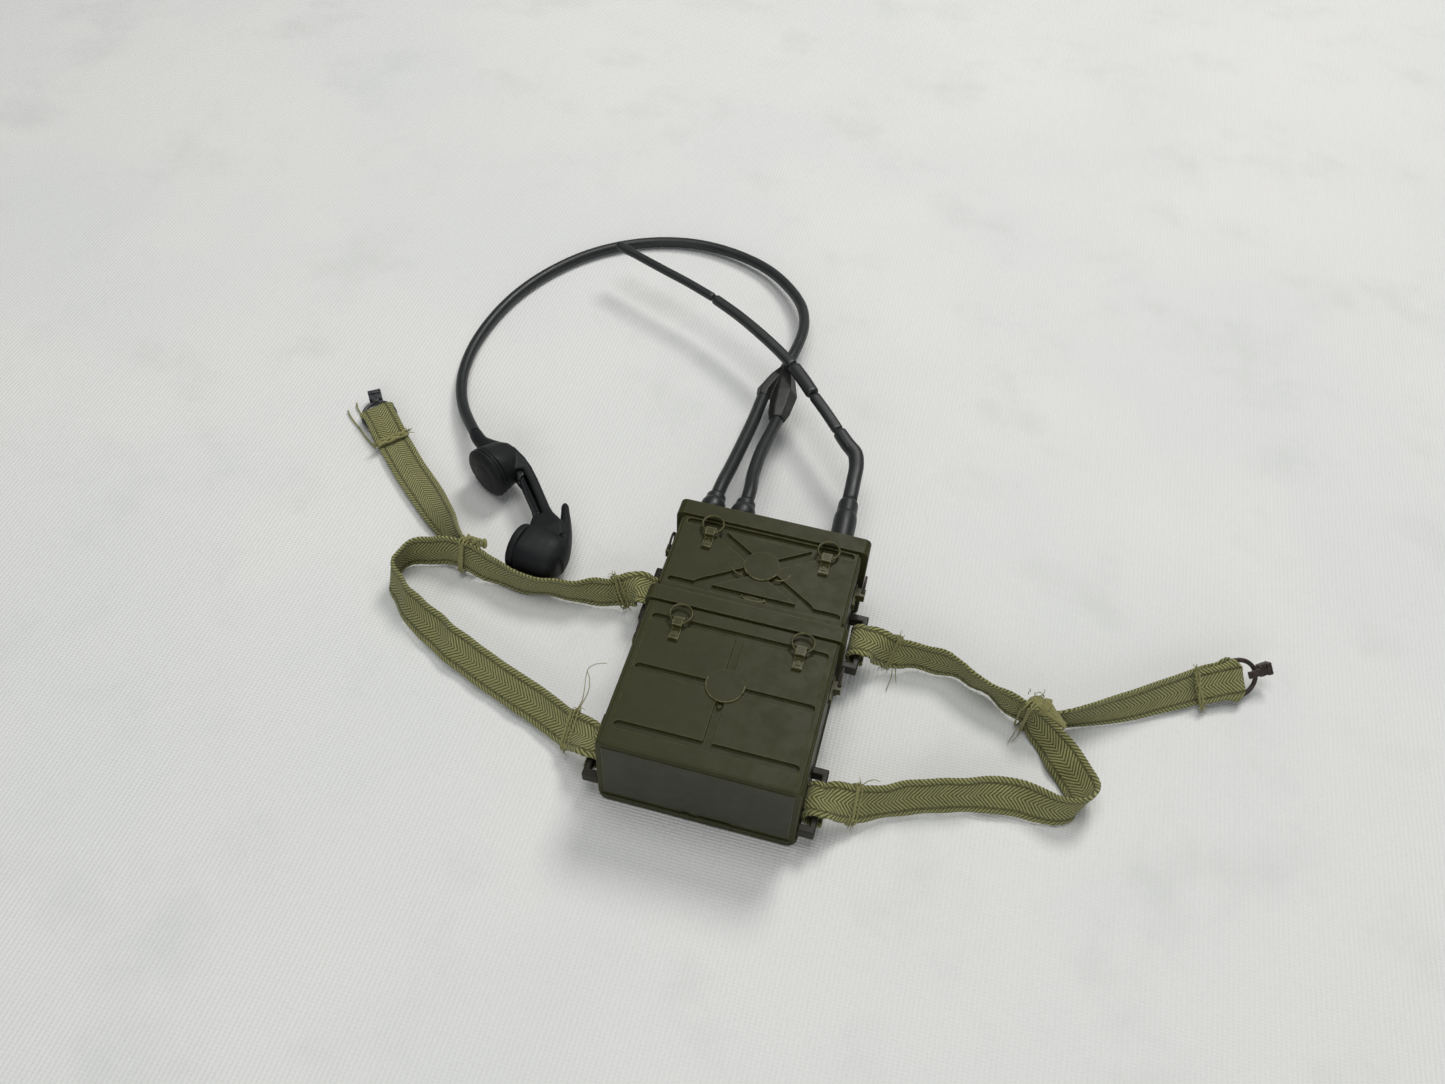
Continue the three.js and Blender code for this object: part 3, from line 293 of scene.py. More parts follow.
def merged(parts):
    """Several (points, faces, extra) sets as one."""
    points, faces, extra, base = [], [], [], 0
    for p, f, e in parts:
        points.append(p)
        extra.append(e)
        faces += [tuple(i + base for i in face) for face in f]
        base += len(p)
    return np.concatenate(points), faces, np.concatenate(extra)


def rod(name, line, radius, material, body, replaces=(), sides=8, closed=False, up=None):
    """A piece of round bar along a line in millimetres."""
    points, faces, _ = tube(row(line), radius * MM, sides, closed, up)
    return piece(name, points, faces, material, body, replaces)


def solid(name, rings, material, body, replaces=(), closed=False):
    """A piece skinned over rings in millimetres."""
    points, faces = skin(row(rings), closed)
    return piece(name, points, faces, material, body, replaces)


def oval_ring(centre, side, up, half_side, half_up, power, count, shift=0.0):
    """A ring of points about a centre, round at power 2 and squarer above it."""
    t = full_turn(count) + shift * 2 * math.pi / count
    c, s = np.cos(t), np.sin(t)
    across = half_side * np.sign(c) * np.abs(c) ** (2 / power)
    rise = half_up * np.sign(s) * np.abs(s) ** (2 / power)
    return np.asarray(centre, float) + np.outer(across, side) + np.outer(rise, up)


def rounded_profile(points, r):
    """A (radius, height) outline with its inner corners rounded."""
    p = [np.array(q, float) for q in points]
    out = [p[0]]
    for a, b, c in zip(p, p[1:], p[2:]):
        before, after = a - b, c - b
        cut = min(r, 0.4 * np.linalg.norm(before), 0.4 * np.linalg.norm(after))
        start, end = b + unit(before) * cut, b + unit(after) * cut
        for s in (0, 1 / 3, 2 / 3, 1):
            out.append(start * (1 - s) ** 2 + 2 * b * s * (1 - s) + end * s * s)
    return out + [p[-1]]


def lathe(profile, centre, axis, sides=48, wobble=0.0, lobes=0):
    """Rings of a turned shape: (radius, height) pairs about an axis from centre."""
    axis = unit(axis)
    side = unit(np.cross(axis, (0.3, 0.2, 1)))
    other = np.cross(axis, side)
    turn = full_turn(sides)
    rings = []
    for r, h in profile:
        rr = np.maximum(r * (1 + wobble * np.cos(lobes * turn)), 0.01)
        ring = np.outer(rr * np.cos(turn), side) + np.outer(rr * np.sin(turn), other)
        rings.append(np.asarray(centre, float) + axis * h + ring)
    return rings


# Materials

class Nodes:
    """A small helper for building one material's node tree."""

    def __init__(self, name):
        self.material = bpy.data.materials.new(name)
        self.material.use_nodes = True
        self.tree = self.material.node_tree
        self.shader = self.tree.nodes["Principled BSDF"]

    def add(self, kind, **values):
        node = self.tree.nodes.new("ShaderNode" + kind)
        for key, value in values.items():
            setattr(node, key, value)
        return node

    def feed(self, node, values):
        """Sets a node's inputs, or links them where a value is another node's output."""
        for key, value in values.items():
            if isinstance(value, (int, float)):
                node.inputs[key].default_value = value
            elif isinstance(value, tuple):
                node.inputs[key].default_value = (*value, 1)
            else:
                self.tree.links.new(value, node.inputs[key])
        return node.outputs

    def math(self, operation, a, b=0.0):
        return self.feed(self.add("Math", operation=operation), {0: a, 1: b})[0]

    def times(self, a, b):
        return self.math("MULTIPLY", a, b)

    def plus(self, a, b):
        return self.math("ADD", a, b)

    def wave(self, value, period):
        return self.math("SINE", self.times(value, 2 * math.pi / period))

    def place(self):
        return self.add("TexCoord").outputs["Object"]

    def attribute(self, name):
        return self.add("Attribute", attribute_name=name).outputs["Vector"]

    def parts(self, vector):
        return self.feed(self.add("SeparateXYZ"), {0: vector})

    def noise(self, scale, detail, roughness=0.55, vector=None):
        node = self.add("TexNoise")
        where = self.place() if vector is None else vector
        values = {"Scale": scale, "Detail": detail, "Roughness": roughness, "Vector": where}
        return self.feed(node, values)["Fac"]

    def spread(self, value, low, high, to_low=0.0, to_high=1.0):
        values = {"From Min": low, "From Max": high, "To Min": to_low, "To Max": to_high, "Value": value}
        return self.feed(self.add("MapRange", interpolation_type="SMOOTHSTEP"), values)["Result"]

    def mix(self, share, a, b):
        return self.feed(self.add("Mix", data_type="RGBA"), {0: share, 6: a, 7: b})[2]

    def bump(self, height, distance, strength=1.0, below=None):
        values = {"Distance": distance, "Strength": strength, "Height": height}
        if below is not None:
            values["Normal"] = below
        return self.feed(self.add("Bump"), values)["Normal"]

    def edges(self, radius):
        """1 on edges and 0 on flat faces, from a rounded normal."""
        rounded = self.feed(self.add("Bevel", samples=4), {"Radius": radius})[0]
        flat = self.add("NewGeometry").outputs["Normal"]
        dot = self.feed(self.add("VectorMath", operation="DOT_PRODUCT"), {0: rounded, 1: flat})
        return self.spread(dot["Value"], 0.955, 0.82)

    def done(self, colour, roughness, normal, **values):
        self.feed(self.shader, {"Base Color": colour, "Roughness": roughness, "Normal": normal})
        self.feed(self.shader, {key.replace("_", " "): value for key, value in values.items()})
        return self.material


def scaled(colour, share, rise=0.0):
    """A colour made darker or lighter."""
    return tuple(min(1, c * share + rise) for c in colour)


def moulded_plastic(name, colour, worn_and_highlit, wear_and_highlight, rough=(0.42, 0.58)):
    """Moulded plastic: faint flow marks, a fine grain, dust in patches, and edges lightened as rubbed wear
    and painted edge highlight.
    """
    n = Nodes(name)
    cloudy = n.noise(140, 3)
    fine = n.noise(2600, 3, 0.6)
    base = n.mix(n.spread(cloudy, 0.35, 0.7), scaled(colour, 0.9), colour)
    dust = n.times(n.spread(n.noise(520, 5, 0.7), 0.5, 0.8), 0.12)
    base = n.mix(dust, base, scaled(colour, 2.2, 0.02))
    # Edges take the worn colour in patches: rubbed wear, and painted highlight along moulded edges and
    # groove lips.
    edge = n.times(n.edges(0.0006), n.spread(n.noise(700, 3), 0.2, 0.65))
    base = n.mix(n.times(edge, wear_and_highlight), base, worn_and_highlit)
    roughness = n.spread(n.noise(300, 4), 0.3, 0.75, *rough)
    normal = n.bump(fine, 0.000012, 0.8, n.bump(cloudy, 0.00003, 0.3))
    return n.done(base, roughness, normal, Specular_IOR_Level=0.17)


RUST = (0.085, 0.04, 0.022)


def old_metal(name, dark, light, rubbed, rust_share):
    """Blackened metal wire and plate with rust in patches, and edges lightened as rubbed wear and painted
    highlight.
    """
    n = Nodes(name)
    base = n.mix(n.spread(n.noise(900, 5, 0.65), 0.35, 0.7), dark, light)
    rust = n.spread(n.noise(2300, 4, 0.7), 0.56, 0.74, 0.0, rust_share)
    base = n.mix(rust, base, RUST)
    # Edges take the rubbed colour: rubbed wear and painted highlight.
    base = n.mix(n.times(n.edges(0.0002), 0.45), base, rubbed)
    normal = n.bump(n.noise(4200, 4, 0.7), 0.00002, 0.7)
    return n.done(base, n.spread(n.noise(1500, 3), 0.3, 0.7, 0.34, 0.55), normal, Metallic=0.3,
                  Specular_IOR_Level=0.4)


# In millimetres: half a zigzag across the tape, its ribs, its cross threads, how far its sewn line is
# from its edge, and a turn of a thread's ply
HERRINGBONE = 2.9
RIB_PITCH = 0.98
CROSS_PITCH = 0.41
STITCH_INSET = 1.55
PLY_PITCH = 0.55


def herringbone_tape(name, light, dark):
    """Cotton herringbone tape; the weave attribute holds millimetres across and along."""
    n = Nodes(name)
    weave = n.attribute("weave")
    across, along = n.parts(weave)[:2]
    wander = n.times(n.noise(1.1, 2, 0.5, weave), 0.5)
    phase = n.plus(n.plus(along, n.times(n.math("PINGPONG", across, HERRINGBONE), 0.95)), wander)
    rib_height = n.spread(n.wave(phase, RIB_PITCH), -0.75, 0.35)
    cross = n.wave(n.math("SUBTRACT", across, along), CROSS_PITCH)
    fluff = n.noise(7, 4, 0.7, weave)
    faded = n.spread(n.noise(0.12, 3, 0.6, weave), 0.3, 0.7)
    high = n.mix(faded, scaled(light, 0.86), light)
    high = n.mix(n.spread(fluff, 0.3, 0.7), scaled(light, 0.8), high)
    base = n.mix(rib_height, dark, high)
    base = n.mix(n.spread(cross, -1, 1, 0.0, 0.16), base, dark)
    from_seam = n.math("SUBTRACT", n.math("ABSOLUTE", across), TAPE_WIDTH / 2 - STITCH_INSET)
    seam = n.spread(n.math("ABSOLUTE", from_seam), 0.14, 0.42, 0.85, 0.0)
    base = n.mix(seam, base, scaled(dark, 0.7))
    height = n.plus(n.plus(rib_height, n.times(fluff, 0.5)), n.times(cross, 0.12))
    return n.done(base, 0.93, n.bump(height, 0.0003), Specular_IOR_Level=0.12, Sheen_Weight=0.15,
                  Sheen_Roughness=0.5)


def spun_thread(name, light, dark):
    """Spun cotton; the spin attribute holds millimetres along and the angle round."""
    n = Nodes(name)
    along, turn = n.parts(n.attribute("spin"))[:2]
    turns = n.plus(n.times(along, 2 * math.pi / PLY_PITCH), turn)
    ply = n.spread(n.math("SINE", n.times(turns, 2)), -0.9, 0.6)
    base = n.mix(ply, dark, light)
    base = n.mix(n.spread(n.noise(1800, 3), 0.4, 0.7, 0, 0.4), base, dark)
    return n.done(base, 0.95, n.bump(ply, 0.00008, 0.8), Specular_IOR_Level=0.15, Sheen_Weight=0.2,
                  Sheen_Roughness=0.5)


def soft_vinyl(name, colour, rough, warm=0.0, shine=0.4):
    """Charcoal vinyl: a satin skin with faint mottling and a few paler rubbed patches."""
    n = Nodes(name)
    base = n.mix(n.spread(n.noise(160, 4), 0.3, 0.7), scaled(colour, 0.75), colour)
    rubbed = n.spread(n.noise(430, 5, 0.7), 0.55, 0.8, 0.0, 0.25 + warm)
    pale = scaled(colour, 2.1)
    if warm:
        pale = (colour[0] * 3.2, colour[1] * 2.3, colour[2] * 1.8)
    base = n.mix(rubbed, base, pale)
    # Edges a little paler: rubbed wear and painted edge highlight.
    base = n.mix(n.times(n.edges(0.00025), 0.22), base, scaled(colour, 3))
    roughness = n.spread(n.noise(210, 4), 0.3, 0.75, *rough)
    normal = n.bump(n.noise(1900, 4, 0.6), 0.000014, 0.8, n.bump(n.noise(90, 2), 0.00008, 0.25))
    return n.done(base, roughness, normal, Specular_IOR_Level=shine)


def clear_window(name):
    """A dark dial window behind a thin clear skin, with fine scuffs."""
    n = Nodes(name)
    base = n.mix(n.noise(900, 4), (0.006, 0.007, 0.006), (0.016, 0.017, 0.014))
    scuffs = n.spread(n.noise(5200, 5, 0.8), 0.4, 0.8, 0.08, 0.3)
    normal = n.bump(n.noise(300, 2), 0.00004, 0.3)
    return n.done(base, scuffs, normal, Coat_Weight=0.6, Coat_Roughness=0.05)


FLOOR_LIGHT = (0.8, 0.795, 0.772)
FLOOR_DARK = (0.765, 0.77, 0.752)
FLOOR_STAIN = (0.6, 0.615, 0.59)
WARP_PITCH = 0.0011
WEFT_PITCH = 0.0008


def sheet_floor(name):
    """A pale woven backdrop sheet with faint ribs, soft creases and a few marks."""
    n = Nodes(name)
    x, y = n.parts(n.place())[:2]
    wander = n.times(n.noise(40, 2), 3.0)
    warp = n.math("SINE", n.plus(n.times(x, 2 * math.pi / WARP_PITCH), wander))
    weft = n.math("SINE", n.plus(n.times(y, 2 * math.pi / WEFT_PITCH), wander))
    weave = n.plus(warp, n.times(weft, 0.6))
    fuzz = n.noise(1300, 4, 0.7)
    base = n.mix(n.spread(n.noise(9, 3), 0.35, 0.65), FLOOR_DARK, FLOOR_LIGHT)
    base = n.mix(n.spread(n.noise(26, 4, 0.6), 0.5, 0.75, 0.0, 0.35), base, FLOOR_STAIN)
    base = n.mix(n.spread(weave, -1.6, 1.0, 0.16, 0.0), base, FLOOR_STAIN)
    base = n.mix(n.spread(fuzz, 0.3, 0.6, 0.12, 0.0), base, FLOOR_STAIN)
    height = n.plus(weave, n.times(fuzz, 1.4))
    soft = n.bump(n.noise(18, 2), 0.004, 0.25)
    return n.done(base, 0.8, n.bump(height, 0.00012, 0.5, soft), Specular_IOR_Level=0.2)


# Each plastic's third and fourth values are the colour and share of its lightened edges: rubbed wear and
# painted edge highlight.
OLIVE = moulded_plastic("olive_plastic", (0.031, 0.031, 0.008), (0.17, 0.16, 0.07), 0.5, (0.42, 0.54))
# A greyer, lighter copy of the olive for the case's foot face: painted reflection of the pale floor.
FOOT_REFLECTION = moulded_plastic("foot_plastic_painted_reflection", (0.042, 0.043, 0.027), (0.16, 0.155, 0.1), 0.5, (0.4, 0.52))
COVER = moulded_plastic("cover_plastic", (0.033, 0.033, 0.012), (0.1, 0.097, 0.045), 0.45)
# A lighter copy of the olive with strongly lightened edges: painted highlight on the latches, their rings
# and the case's raised lines.
LATCH_HIGHLIT = moulded_plastic("latch_plastic", (0.045, 0.044, 0.014), (0.27, 0.25, 0.13), 0.85, (0.3, 0.42))
BRACKET = moulded_plastic("bracket_metal", (0.02, 0.0185, 0.011), (0.09, 0.08, 0.055), 0.6, (0.34, 0.46))
BLACK = soft_vinyl("black_plastic", (0.0095, 0.0105, 0.011), (0.5, 0.62), 0.0, 0.2)
GLOSS = soft_vinyl("glossy_black", (0.013, 0.014, 0.015), (0.16, 0.26), 0.0, 0.5)
VINYL = soft_vinyl("cord_vinyl", (0.017, 0.0195, 0.0195), (0.38, 0.5))
WORN_VINYL = soft_vinyl("junction_vinyl", (0.017, 0.017, 0.015), (0.42, 0.58), 0.2)
TAPE = herringbone_tape("tape", (0.43, 0.425, 0.175), (0.1, 0.1, 0.032))
THREAD = spun_thread("thread", (0.4, 0.385, 0.155), (0.13, 0.125, 0.043))
SEWING = spun_thread("sewing_thread", (0.25, 0.243, 0.095), (0.075, 0.072, 0.025))
METAL = old_metal("brown_metal", (0.034, 0.025, 0.021), (0.08, 0.06, 0.05),
                  (0.3, 0.24, 0.21), 0.5)
# The grey clip's pale rubbed colour stands in for its light-grey highlights: painted highlight.
GREY_METAL = old_metal("grey_metal", (0.035, 0.036, 0.039), (0.1, 0.104, 0.11),
                       (0.5, 0.51, 0.53), 0.08)
CLIP_METALS = {"left": GREY_METAL, "right": METAL}
WINDOW = clear_window("window_plastic")


# Camera, cords, floor and light

CAMERA_AT = Vector((0.03158, -0.16545, 0.2653))
CAMERA_AIM = Vector((-0.01574, 0.04624, 0))
CAMERA_ROLL = 3.17
CAMERA_LENS = 30.69


# Name, place, aim, size, power and colour
LIGHTS = [
    ("light_behind", (0.17, 0.72, 0.96), (0, 0.02, 0), 0.42, 6.6, (1, 0.985, 0.96)),
    ("light_above", (-0.1, 0.08, 1.25), (0, 0.02, 0), 0.8, 5.2, (1, 1, 1)),
    ("light_front", (0.1, -0.95, 0.42), (0, -0.02, 0), 0.7, 3.2, (0.96, 0.98, 1)),
]
WORLD_COLOUR = (0.93, 0.97, 1, 1)
WORLD_LIGHT = 0.2
FLOOR_DROP = 0.0002


def make_camera():
    data = bpy.data.cameras.new("camera")
    data.lens = CAMERA_LENS
    data.sensor_width = 36
    data.clip_start = 0.01
    camera = placed("camera", data)
    camera.location = CAMERA_AT
    camera.rotation_mode = "QUATERNION"
    aim = (CAMERA_AIM - CAMERA_AT).to_track_quat("-Z", "Y")
    camera.rotation_quaternion = aim @ Quaternion((0, 0, 1), math.radians(CAMERA_ROLL))
    bpy.context.scene.camera = camera


def cord_curve(name, points, radius):
    """A round cord as one open curve along its route."""
    line = row(smooth_path(points, 1.2))
    data = bpy.data.curves.new(name, "CURVE")
    data.dimensions = "3D"
    data.bevel_depth = radius * MM
    data.bevel_resolution = 6
    data.use_fill_caps = True
    spline = data.splines.new("POLY")
    spline.points.add(len(line) - 1)
    spline.points.foreach_set("co", np.column_stack([line, np.ones(len(line))]).ravel())
    spline.use_smooth = True
    data.materials.append(VINYL)
    o = placed(name + "_vinyl", data)
    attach(o, "handset_set")
    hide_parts(name)
    return o


def area_light(name, at, aim, size, power, colour):
    data = bpy.data.lights.new(name, "AREA")
    data.shape = "DISK"
    data.size = size
    data.energy = power
    data.color = colour
    o = placed(name, data)
    o.location = at
    o.rotation_mode = "QUATERNION"
    o.rotation_quaternion = (Vector(aim) - Vector(at)).to_track_quat("-Z", "Y")


def make_stage():
    grid = bmesh.new()
    bmesh.ops.create_grid(grid, x_segments=24, y_segments=24, size=3)
    mesh = bpy.data.meshes.new("floor")
    grid.to_mesh(mesh)
    grid.free()
    mesh.materials.append(sheet_floor("floor_sheet"))
    floor = placed("floor", mesh)
    floor.location.z = -FLOOR_DROP
    world = bpy.data.worlds.new("studio")
    world.use_nodes = True
    background = world.node_tree.nodes["Background"]
    background.inputs[0].default_value = WORLD_COLOUR
    background.inputs[1].default_value = WORLD_LIGHT
    bpy.context.scene.world = world
    for light in LIGHTS:
        area_light(*light)


bpy.context.scene.view_settings.view_transform = "Standard"

make_camera()
CORDS = {name: cord_curve(name, points, LEAD_R) for name, points in LEADS.items()}
CORDS["handset_cord"] = cord_curve("handset_cord", CORD, CORD_R)
make_stage()


# Case

def modify(o, kind, **values):
    modifier = o.modifiers.new(kind.lower(), kind)
    for key, value in values.items():
        setattr(modifier, key, value)


def melt(o, voxel, rounds):
    """Joins what overlaps in a mesh and melts its edges."""
    modify(o, "REMESH", mode="VOXEL", voxel_size=voxel * MM, use_smooth_shade=True)
    modify(o, "SMOOTH", factor=0.5, iterations=rounds)


def coated(node, material):
    """A CAD node that stays, with its material and its doubled corners welded."""
    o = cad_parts[node]
    o.data.materials.clear()
    o.data.materials.append(material)
    modify(o, "WELD", merge_threshold=2e-6)
    return o


def dress(node, material, width=0.22, angle=34):
    """A CAD node that stays, with its corners rounded."""
    o = coated(node, material)
    for p in o.data.polygons:
        p.use_smooth = True
    modify(o, "DECIMATE", decimate_type="DISSOLVE", angle_limit=math.radians(0.8))
    modify(o, "BEVEL", width=width * MM, segments=3, limit_method="ANGLE", angle_limit=math.radians(angle),
           use_clamp_overlap=True)
    modify(o, "WEIGHTED_NORMAL", keep_sharp=False)


def soften(node, material, voxel, rounds):
    """A CAD node that stays, with its edges melted as in a soft moulding."""
    melt(coated(node, material), voxel, rounds)


def ridge(name, line, radius, material):
    """A raised line on the case's face."""
    rod(name, straight_path(line, 0.5), radius, material, "case", up=(0, 0, 1))


def arc(cx, cy, z, rx, ry, start, end, count):
    """Part of an oval, between two turns in degrees."""
    turns = np.radians(np.linspace(start, end, count))
    return [(cx + rx * math.cos(t), cy + ry * math.sin(t), z) for t in turns]


def case_details():
    top = CASE_DEPTH + 0.3
    # The disc rims, ears and lip are thin raised lines in the lighter latch plastic, drawn only where the
    # moulded edges catch the light: painted highlights.
    ridge("battery_disc_highlight_rim", arc(0.4, 22.3, top, 4.5, 4.5, 165, 375, 60), 0.16, LATCH_HIGHLIT)
    ridge("radio_disc_highlight_rim", arc(0.2, 58.6, top, 4.4, 4.4, 195, 340, 40), 0.16, LATCH_HIGHLIT)
    ear = [(-6.9, 56.2), (-6.2, 55.3), (-5, 54.7), (-3.7, 54.5)]
    ridge("radio_ear_highlight_left", [(x, y, CASE_DEPTH) for x, y in ear], 0.22, LATCH_HIGHLIT)
    ear = [(4.2, 55.3), (5.6, 55.5), (6.8, 56.1), (7.4, 57), (7.6, 58.2)]
    ridge("radio_ear_highlight_right", [(x, y, CASE_DEPTH) for x, y in ear], 0.22, LATCH_HIGHLIT)
    ridge("radio_lip_highlight", arc(0.4, 48.4, CASE_DEPTH, 3, 0.75, 150, 390, 30), 0.17, LATCH_HIGHLIT)
    edge = BATTERY_HALF - 0.42
    bead = [(-edge, 41, 24.66), (-edge, 2, 24.66), (-edge + 0.2, 0.5, 24.7), (-edge + 1.6, 0.28, 24.72),
            (edge - 1.6, 0.28, 24.72), (edge - 0.2, 0.5, 24.7), (edge, 2, 24.66), (edge, 41, 24.66)]
    ridge("battery_edge_bead", bead, 0.42, OLIVE)
    for side, hand in SIDES:
        x = side * (edge - 1.5)
        z = CASE_DEPTH - 0.02
        ridge(f"battery_border_{hand}", [(x, 2, z), (x, 39, z)], 0.14, OLIVE)
        x = side * 23
        ridge(f"radio_edge_bead_{hand}", [(x, 47, 24.7), (x, 68.6, 24.7)], 0.36, OLIVE)


def rounded_plate(name, xs, ys, zs, bevel, material):
    """A moulded plate on the case's foot, with its corners rounded."""
    corners = row([(x, y, z) for x in xs for y in ys for z in zs])
    faces = [(0, 1, 3, 2), (4, 6, 7, 5), (0, 4, 5, 1), (2, 3, 7, 6), (0, 2, 6, 4), (1, 5, 7, 3)]
    o = piece(name, corners, faces, material, "case")
    modify(o, "BEVEL", width=bevel * MM, segments=4)
    modify(o, "WEIGHTED_NORMAL")


def foot_details():
    # The foot panel's greyer, lighter plastic is painted reflection.
    rounded_plate("foot_panel", (-22.3, 22.3), (-0.2, 0.5), (3.4, 23.4), 0.16, FOOT_REFLECTION)
    rounded_plate("cover_tab_left", (-3.4, -1.4), (-0.75, 0), (2.1, 2.9), 0.18, COVER)
    rounded_plate("cover_tab_right", (0.6, 8.4), (-0.7, 0), (2.1, 2.8), 0.18, COVER)


for node in ("radio_case", "battery_case", "top_panel"):
    dress(node, OLIVE)
dress("back_cover", COVER, 0.3)
dress("dial_window", WINDOW, 0.15)
case_details()
foot_details()


# Latches

def latch_loop():
    """A wire ring with a straight axle, drawn about its own centre."""
    line = [(RING_R * math.sin(t), -RING_R * math.cos(t)) for t in np.radians(np.linspace(38, 322, 40))]
    axle = [(x, -RING_R) for x in np.linspace(-1.35, 1.35, 8)]
    return line + axle


def latch_ring(node, spot, material):
    line = np.array([spot(x, y) for x, y in latch_loop()])
    up = unit(np.cross(line[10] - line[0], line[20] - line[0]))
    rod(node + "_wire", line, RING_WIRE, material, node, [node], 10, True, up)


def front_spot(cx, cy):
    return lambda x, y: (cx + x, cy + y, CASE_DEPTH + FRONT_LIFT)


def side_spot(side, cy, wall):
    return lambda x, y: (side * wall, cy + y, SIDE_LATCH_Z - side * x)


for level, y in LATCH_YS.items():
    for side, hand in SIDES:
        dress(f"front_latch_{level}_{hand}", LATCH_HIGHLIT, 0.12, 40)
        dress(f"side_latch_{level}_{hand}", LATCH_HIGHLIT, 0.12, 40)
        on_front = front_spot(side * LATCH_X + 0.2, y)
        latch_ring(f"front_ring_{level}_{hand}", on_front, LATCH_HIGHLIT)
        on_side = side_spot(side, y, WALLS[level] + SIDE_LIFT[level])
        latch_ring(f"side_ring_{level}_{hand}", on_side, METAL)


# Harness

# Shares of the tape's half width: the points across it, and where its folded edge is sewn down
SECTION_AT = np.array([0, 0.12, 0.24, 0.36, 0.48, 0.57, 0.63, 0.667, 0.705, 0.76, 0.84, 0.92, 0.97, 1])
SEAM_SHARE = 0.667
# Half the tape's thickness, and what its folded edge adds
TAPE_HALF_THICK = 0.33
FOLD_EXTRA = 0.13


def half_thickness(a):
    """The tape's half thickness at a share of its half width, thicker where its edge is folded."""
    a = np.abs(a)
    body = TAPE_HALF_THICK + FOLD_EXTRA * (a > SEAM_SHARE)
    groove = FOLD_EXTRA * np.exp(-((a - SEAM_SHARE) / 0.035) ** 2)
    rim = np.sqrt(np.clip(1 - ((a - 0.9) / 0.1).clip(0, None) ** 2, 0.04, 1))
    return (body - groove) * rim


def creases(across, along, seed):
    """Soft creases that lift the tape off its flat line, in millimetres."""
    rng = random.Random(seed)
    total = 0
    for _ in range(7):
        k, m = rng.uniform(0.12, 0.75), rng.uniform(-0.45, 0.45)
        total = total + rng.uniform(0.03, 0.1) * np.sin(k * along + m * across + rng.uniform(0, 6.28))
    return total


class Ribbon:
    """A tape along stations of place, width direction and width, in millimetres."""

    def __init__(self, stations, seed, crumple):
        stations = [(*s, TAPE_WIDTH) if len(s) == 6 else s for s in stations]
        path = smooth_path(stations, 0.25)
        self.line = path[:, :3]
        self.tangent, _, self.side = frames(self.line, path[:, 3:6])
        self.normal = np.cross(self.tangent, self.side)
        self.half = path[:, 6] / 2
        self.along = distances(self.line)
        self.seed = seed
        self.crumple = crumple

    def at(self, i, a, lift):
        """A point over the tape's face: row i, a share of half width, and a height off its face."""
        across = a * self.half[i]
        up = lift + self.crumple * creases(across, self.along[i], self.seed)
        near_edge = np.clip((np.abs(a) - 0.9) * 10, 0, 1)
        scallop = 0.05 * np.sin(2 * math.pi * self.along[i] / RIB_PITCH) * near_edge
        across = across + np.sign(a) * scallop
        return self.line[i] + self.side[i] * across[..., None] + self.normal[i] * up[..., None]

    def build(self, name, body, replaces):
        a = np.concatenate([-SECTION_AT[::-1], SECTION_AT[1:]])
        around = np.concatenate([a, a[::-1]])
        sign = np.concatenate([np.ones(len(a)), -np.ones(len(a))])
        rows = np.arange(len(self.line))[:, None] + 0 * around[None, :].astype(int)
        share = np.broadcast_to(around, rows.shape)
        pucker = 1 + 0.1 * np.sin(2 * math.pi * self.along / 2.2)[:, None] * (np.abs(share) > 0.7)
        lift = half_thickness(share) * sign * pucker
        points = self.at(rows, share, lift)
        vertices, faces = skin(row(points))
        weave = np.stack([share * self.half[:, None], np.broadcast_to(self.along[:, None], rows.shape),
                          np.broadcast_to(sign, rows.shape)], axis=-1).reshape(-1, 3)
        return piece(name, vertices, faces, TAPE, body, replaces, {"weave": weave})

    def up_sign(self, i):
        return 1.0 if self.normal[i][2] > 0 else -1.0

    def nearest(self, place):
        return int(np.linalg.norm(self.line - np.asarray(place), axis=1).argmin())

    def stitches(self, start, end):
        """Two rows of running stitches on each face between two distances along the tape."""
        parts = []
        length, gap, radius = 1.75, 0.45, 0.15
        for line in (-1, 1):
            share = line * (1 - STITCH_INSET / (TAPE_WIDTH / 2))
            for face in (-1, 1):
                s = start + (0 if face > 0 else (length + gap) / 2)
                while s + length < end:
                    spots = np.linspace(s, s + length, 6)
                    i = np.searchsorted(self.along, spots).clip(0, len(self.along) - 1)
                    rise = np.array([-0.12, 0.06, 0.1, 0.1, 0.06, -0.12])
                    lift = face * (half_thickness(share) + rise)
                    parts.append(tube(self.at(i, share + 0 * spots, lift), radius, 6))
                    s += length + gap
        return parts


def add_threads(name, parts, replaces=(), material=THREAD):
    points, faces, spin = merged(parts)
    piece(name, row(points), faces, material, "case", replaces, {"spin": spin})


def bar_loop(side, bracket):
    """Stations that carry the tape round a bracket's bar, from below it to above it."""
    bar = bracket["wall"] + bracket["reach"] - BAR_THICK / 2
    y = sum(bracket["y"]) / 2
    turns = np.radians(np.arange(-130, 111, 30))
    xs = side * (bar - LOOP_R * np.cos(turns))
    zs = bracket["z"] + LOOP_R * np.sin(turns)
    return [(x, y, z, 0, 1, 0) for x, z in zip(xs, zs)]


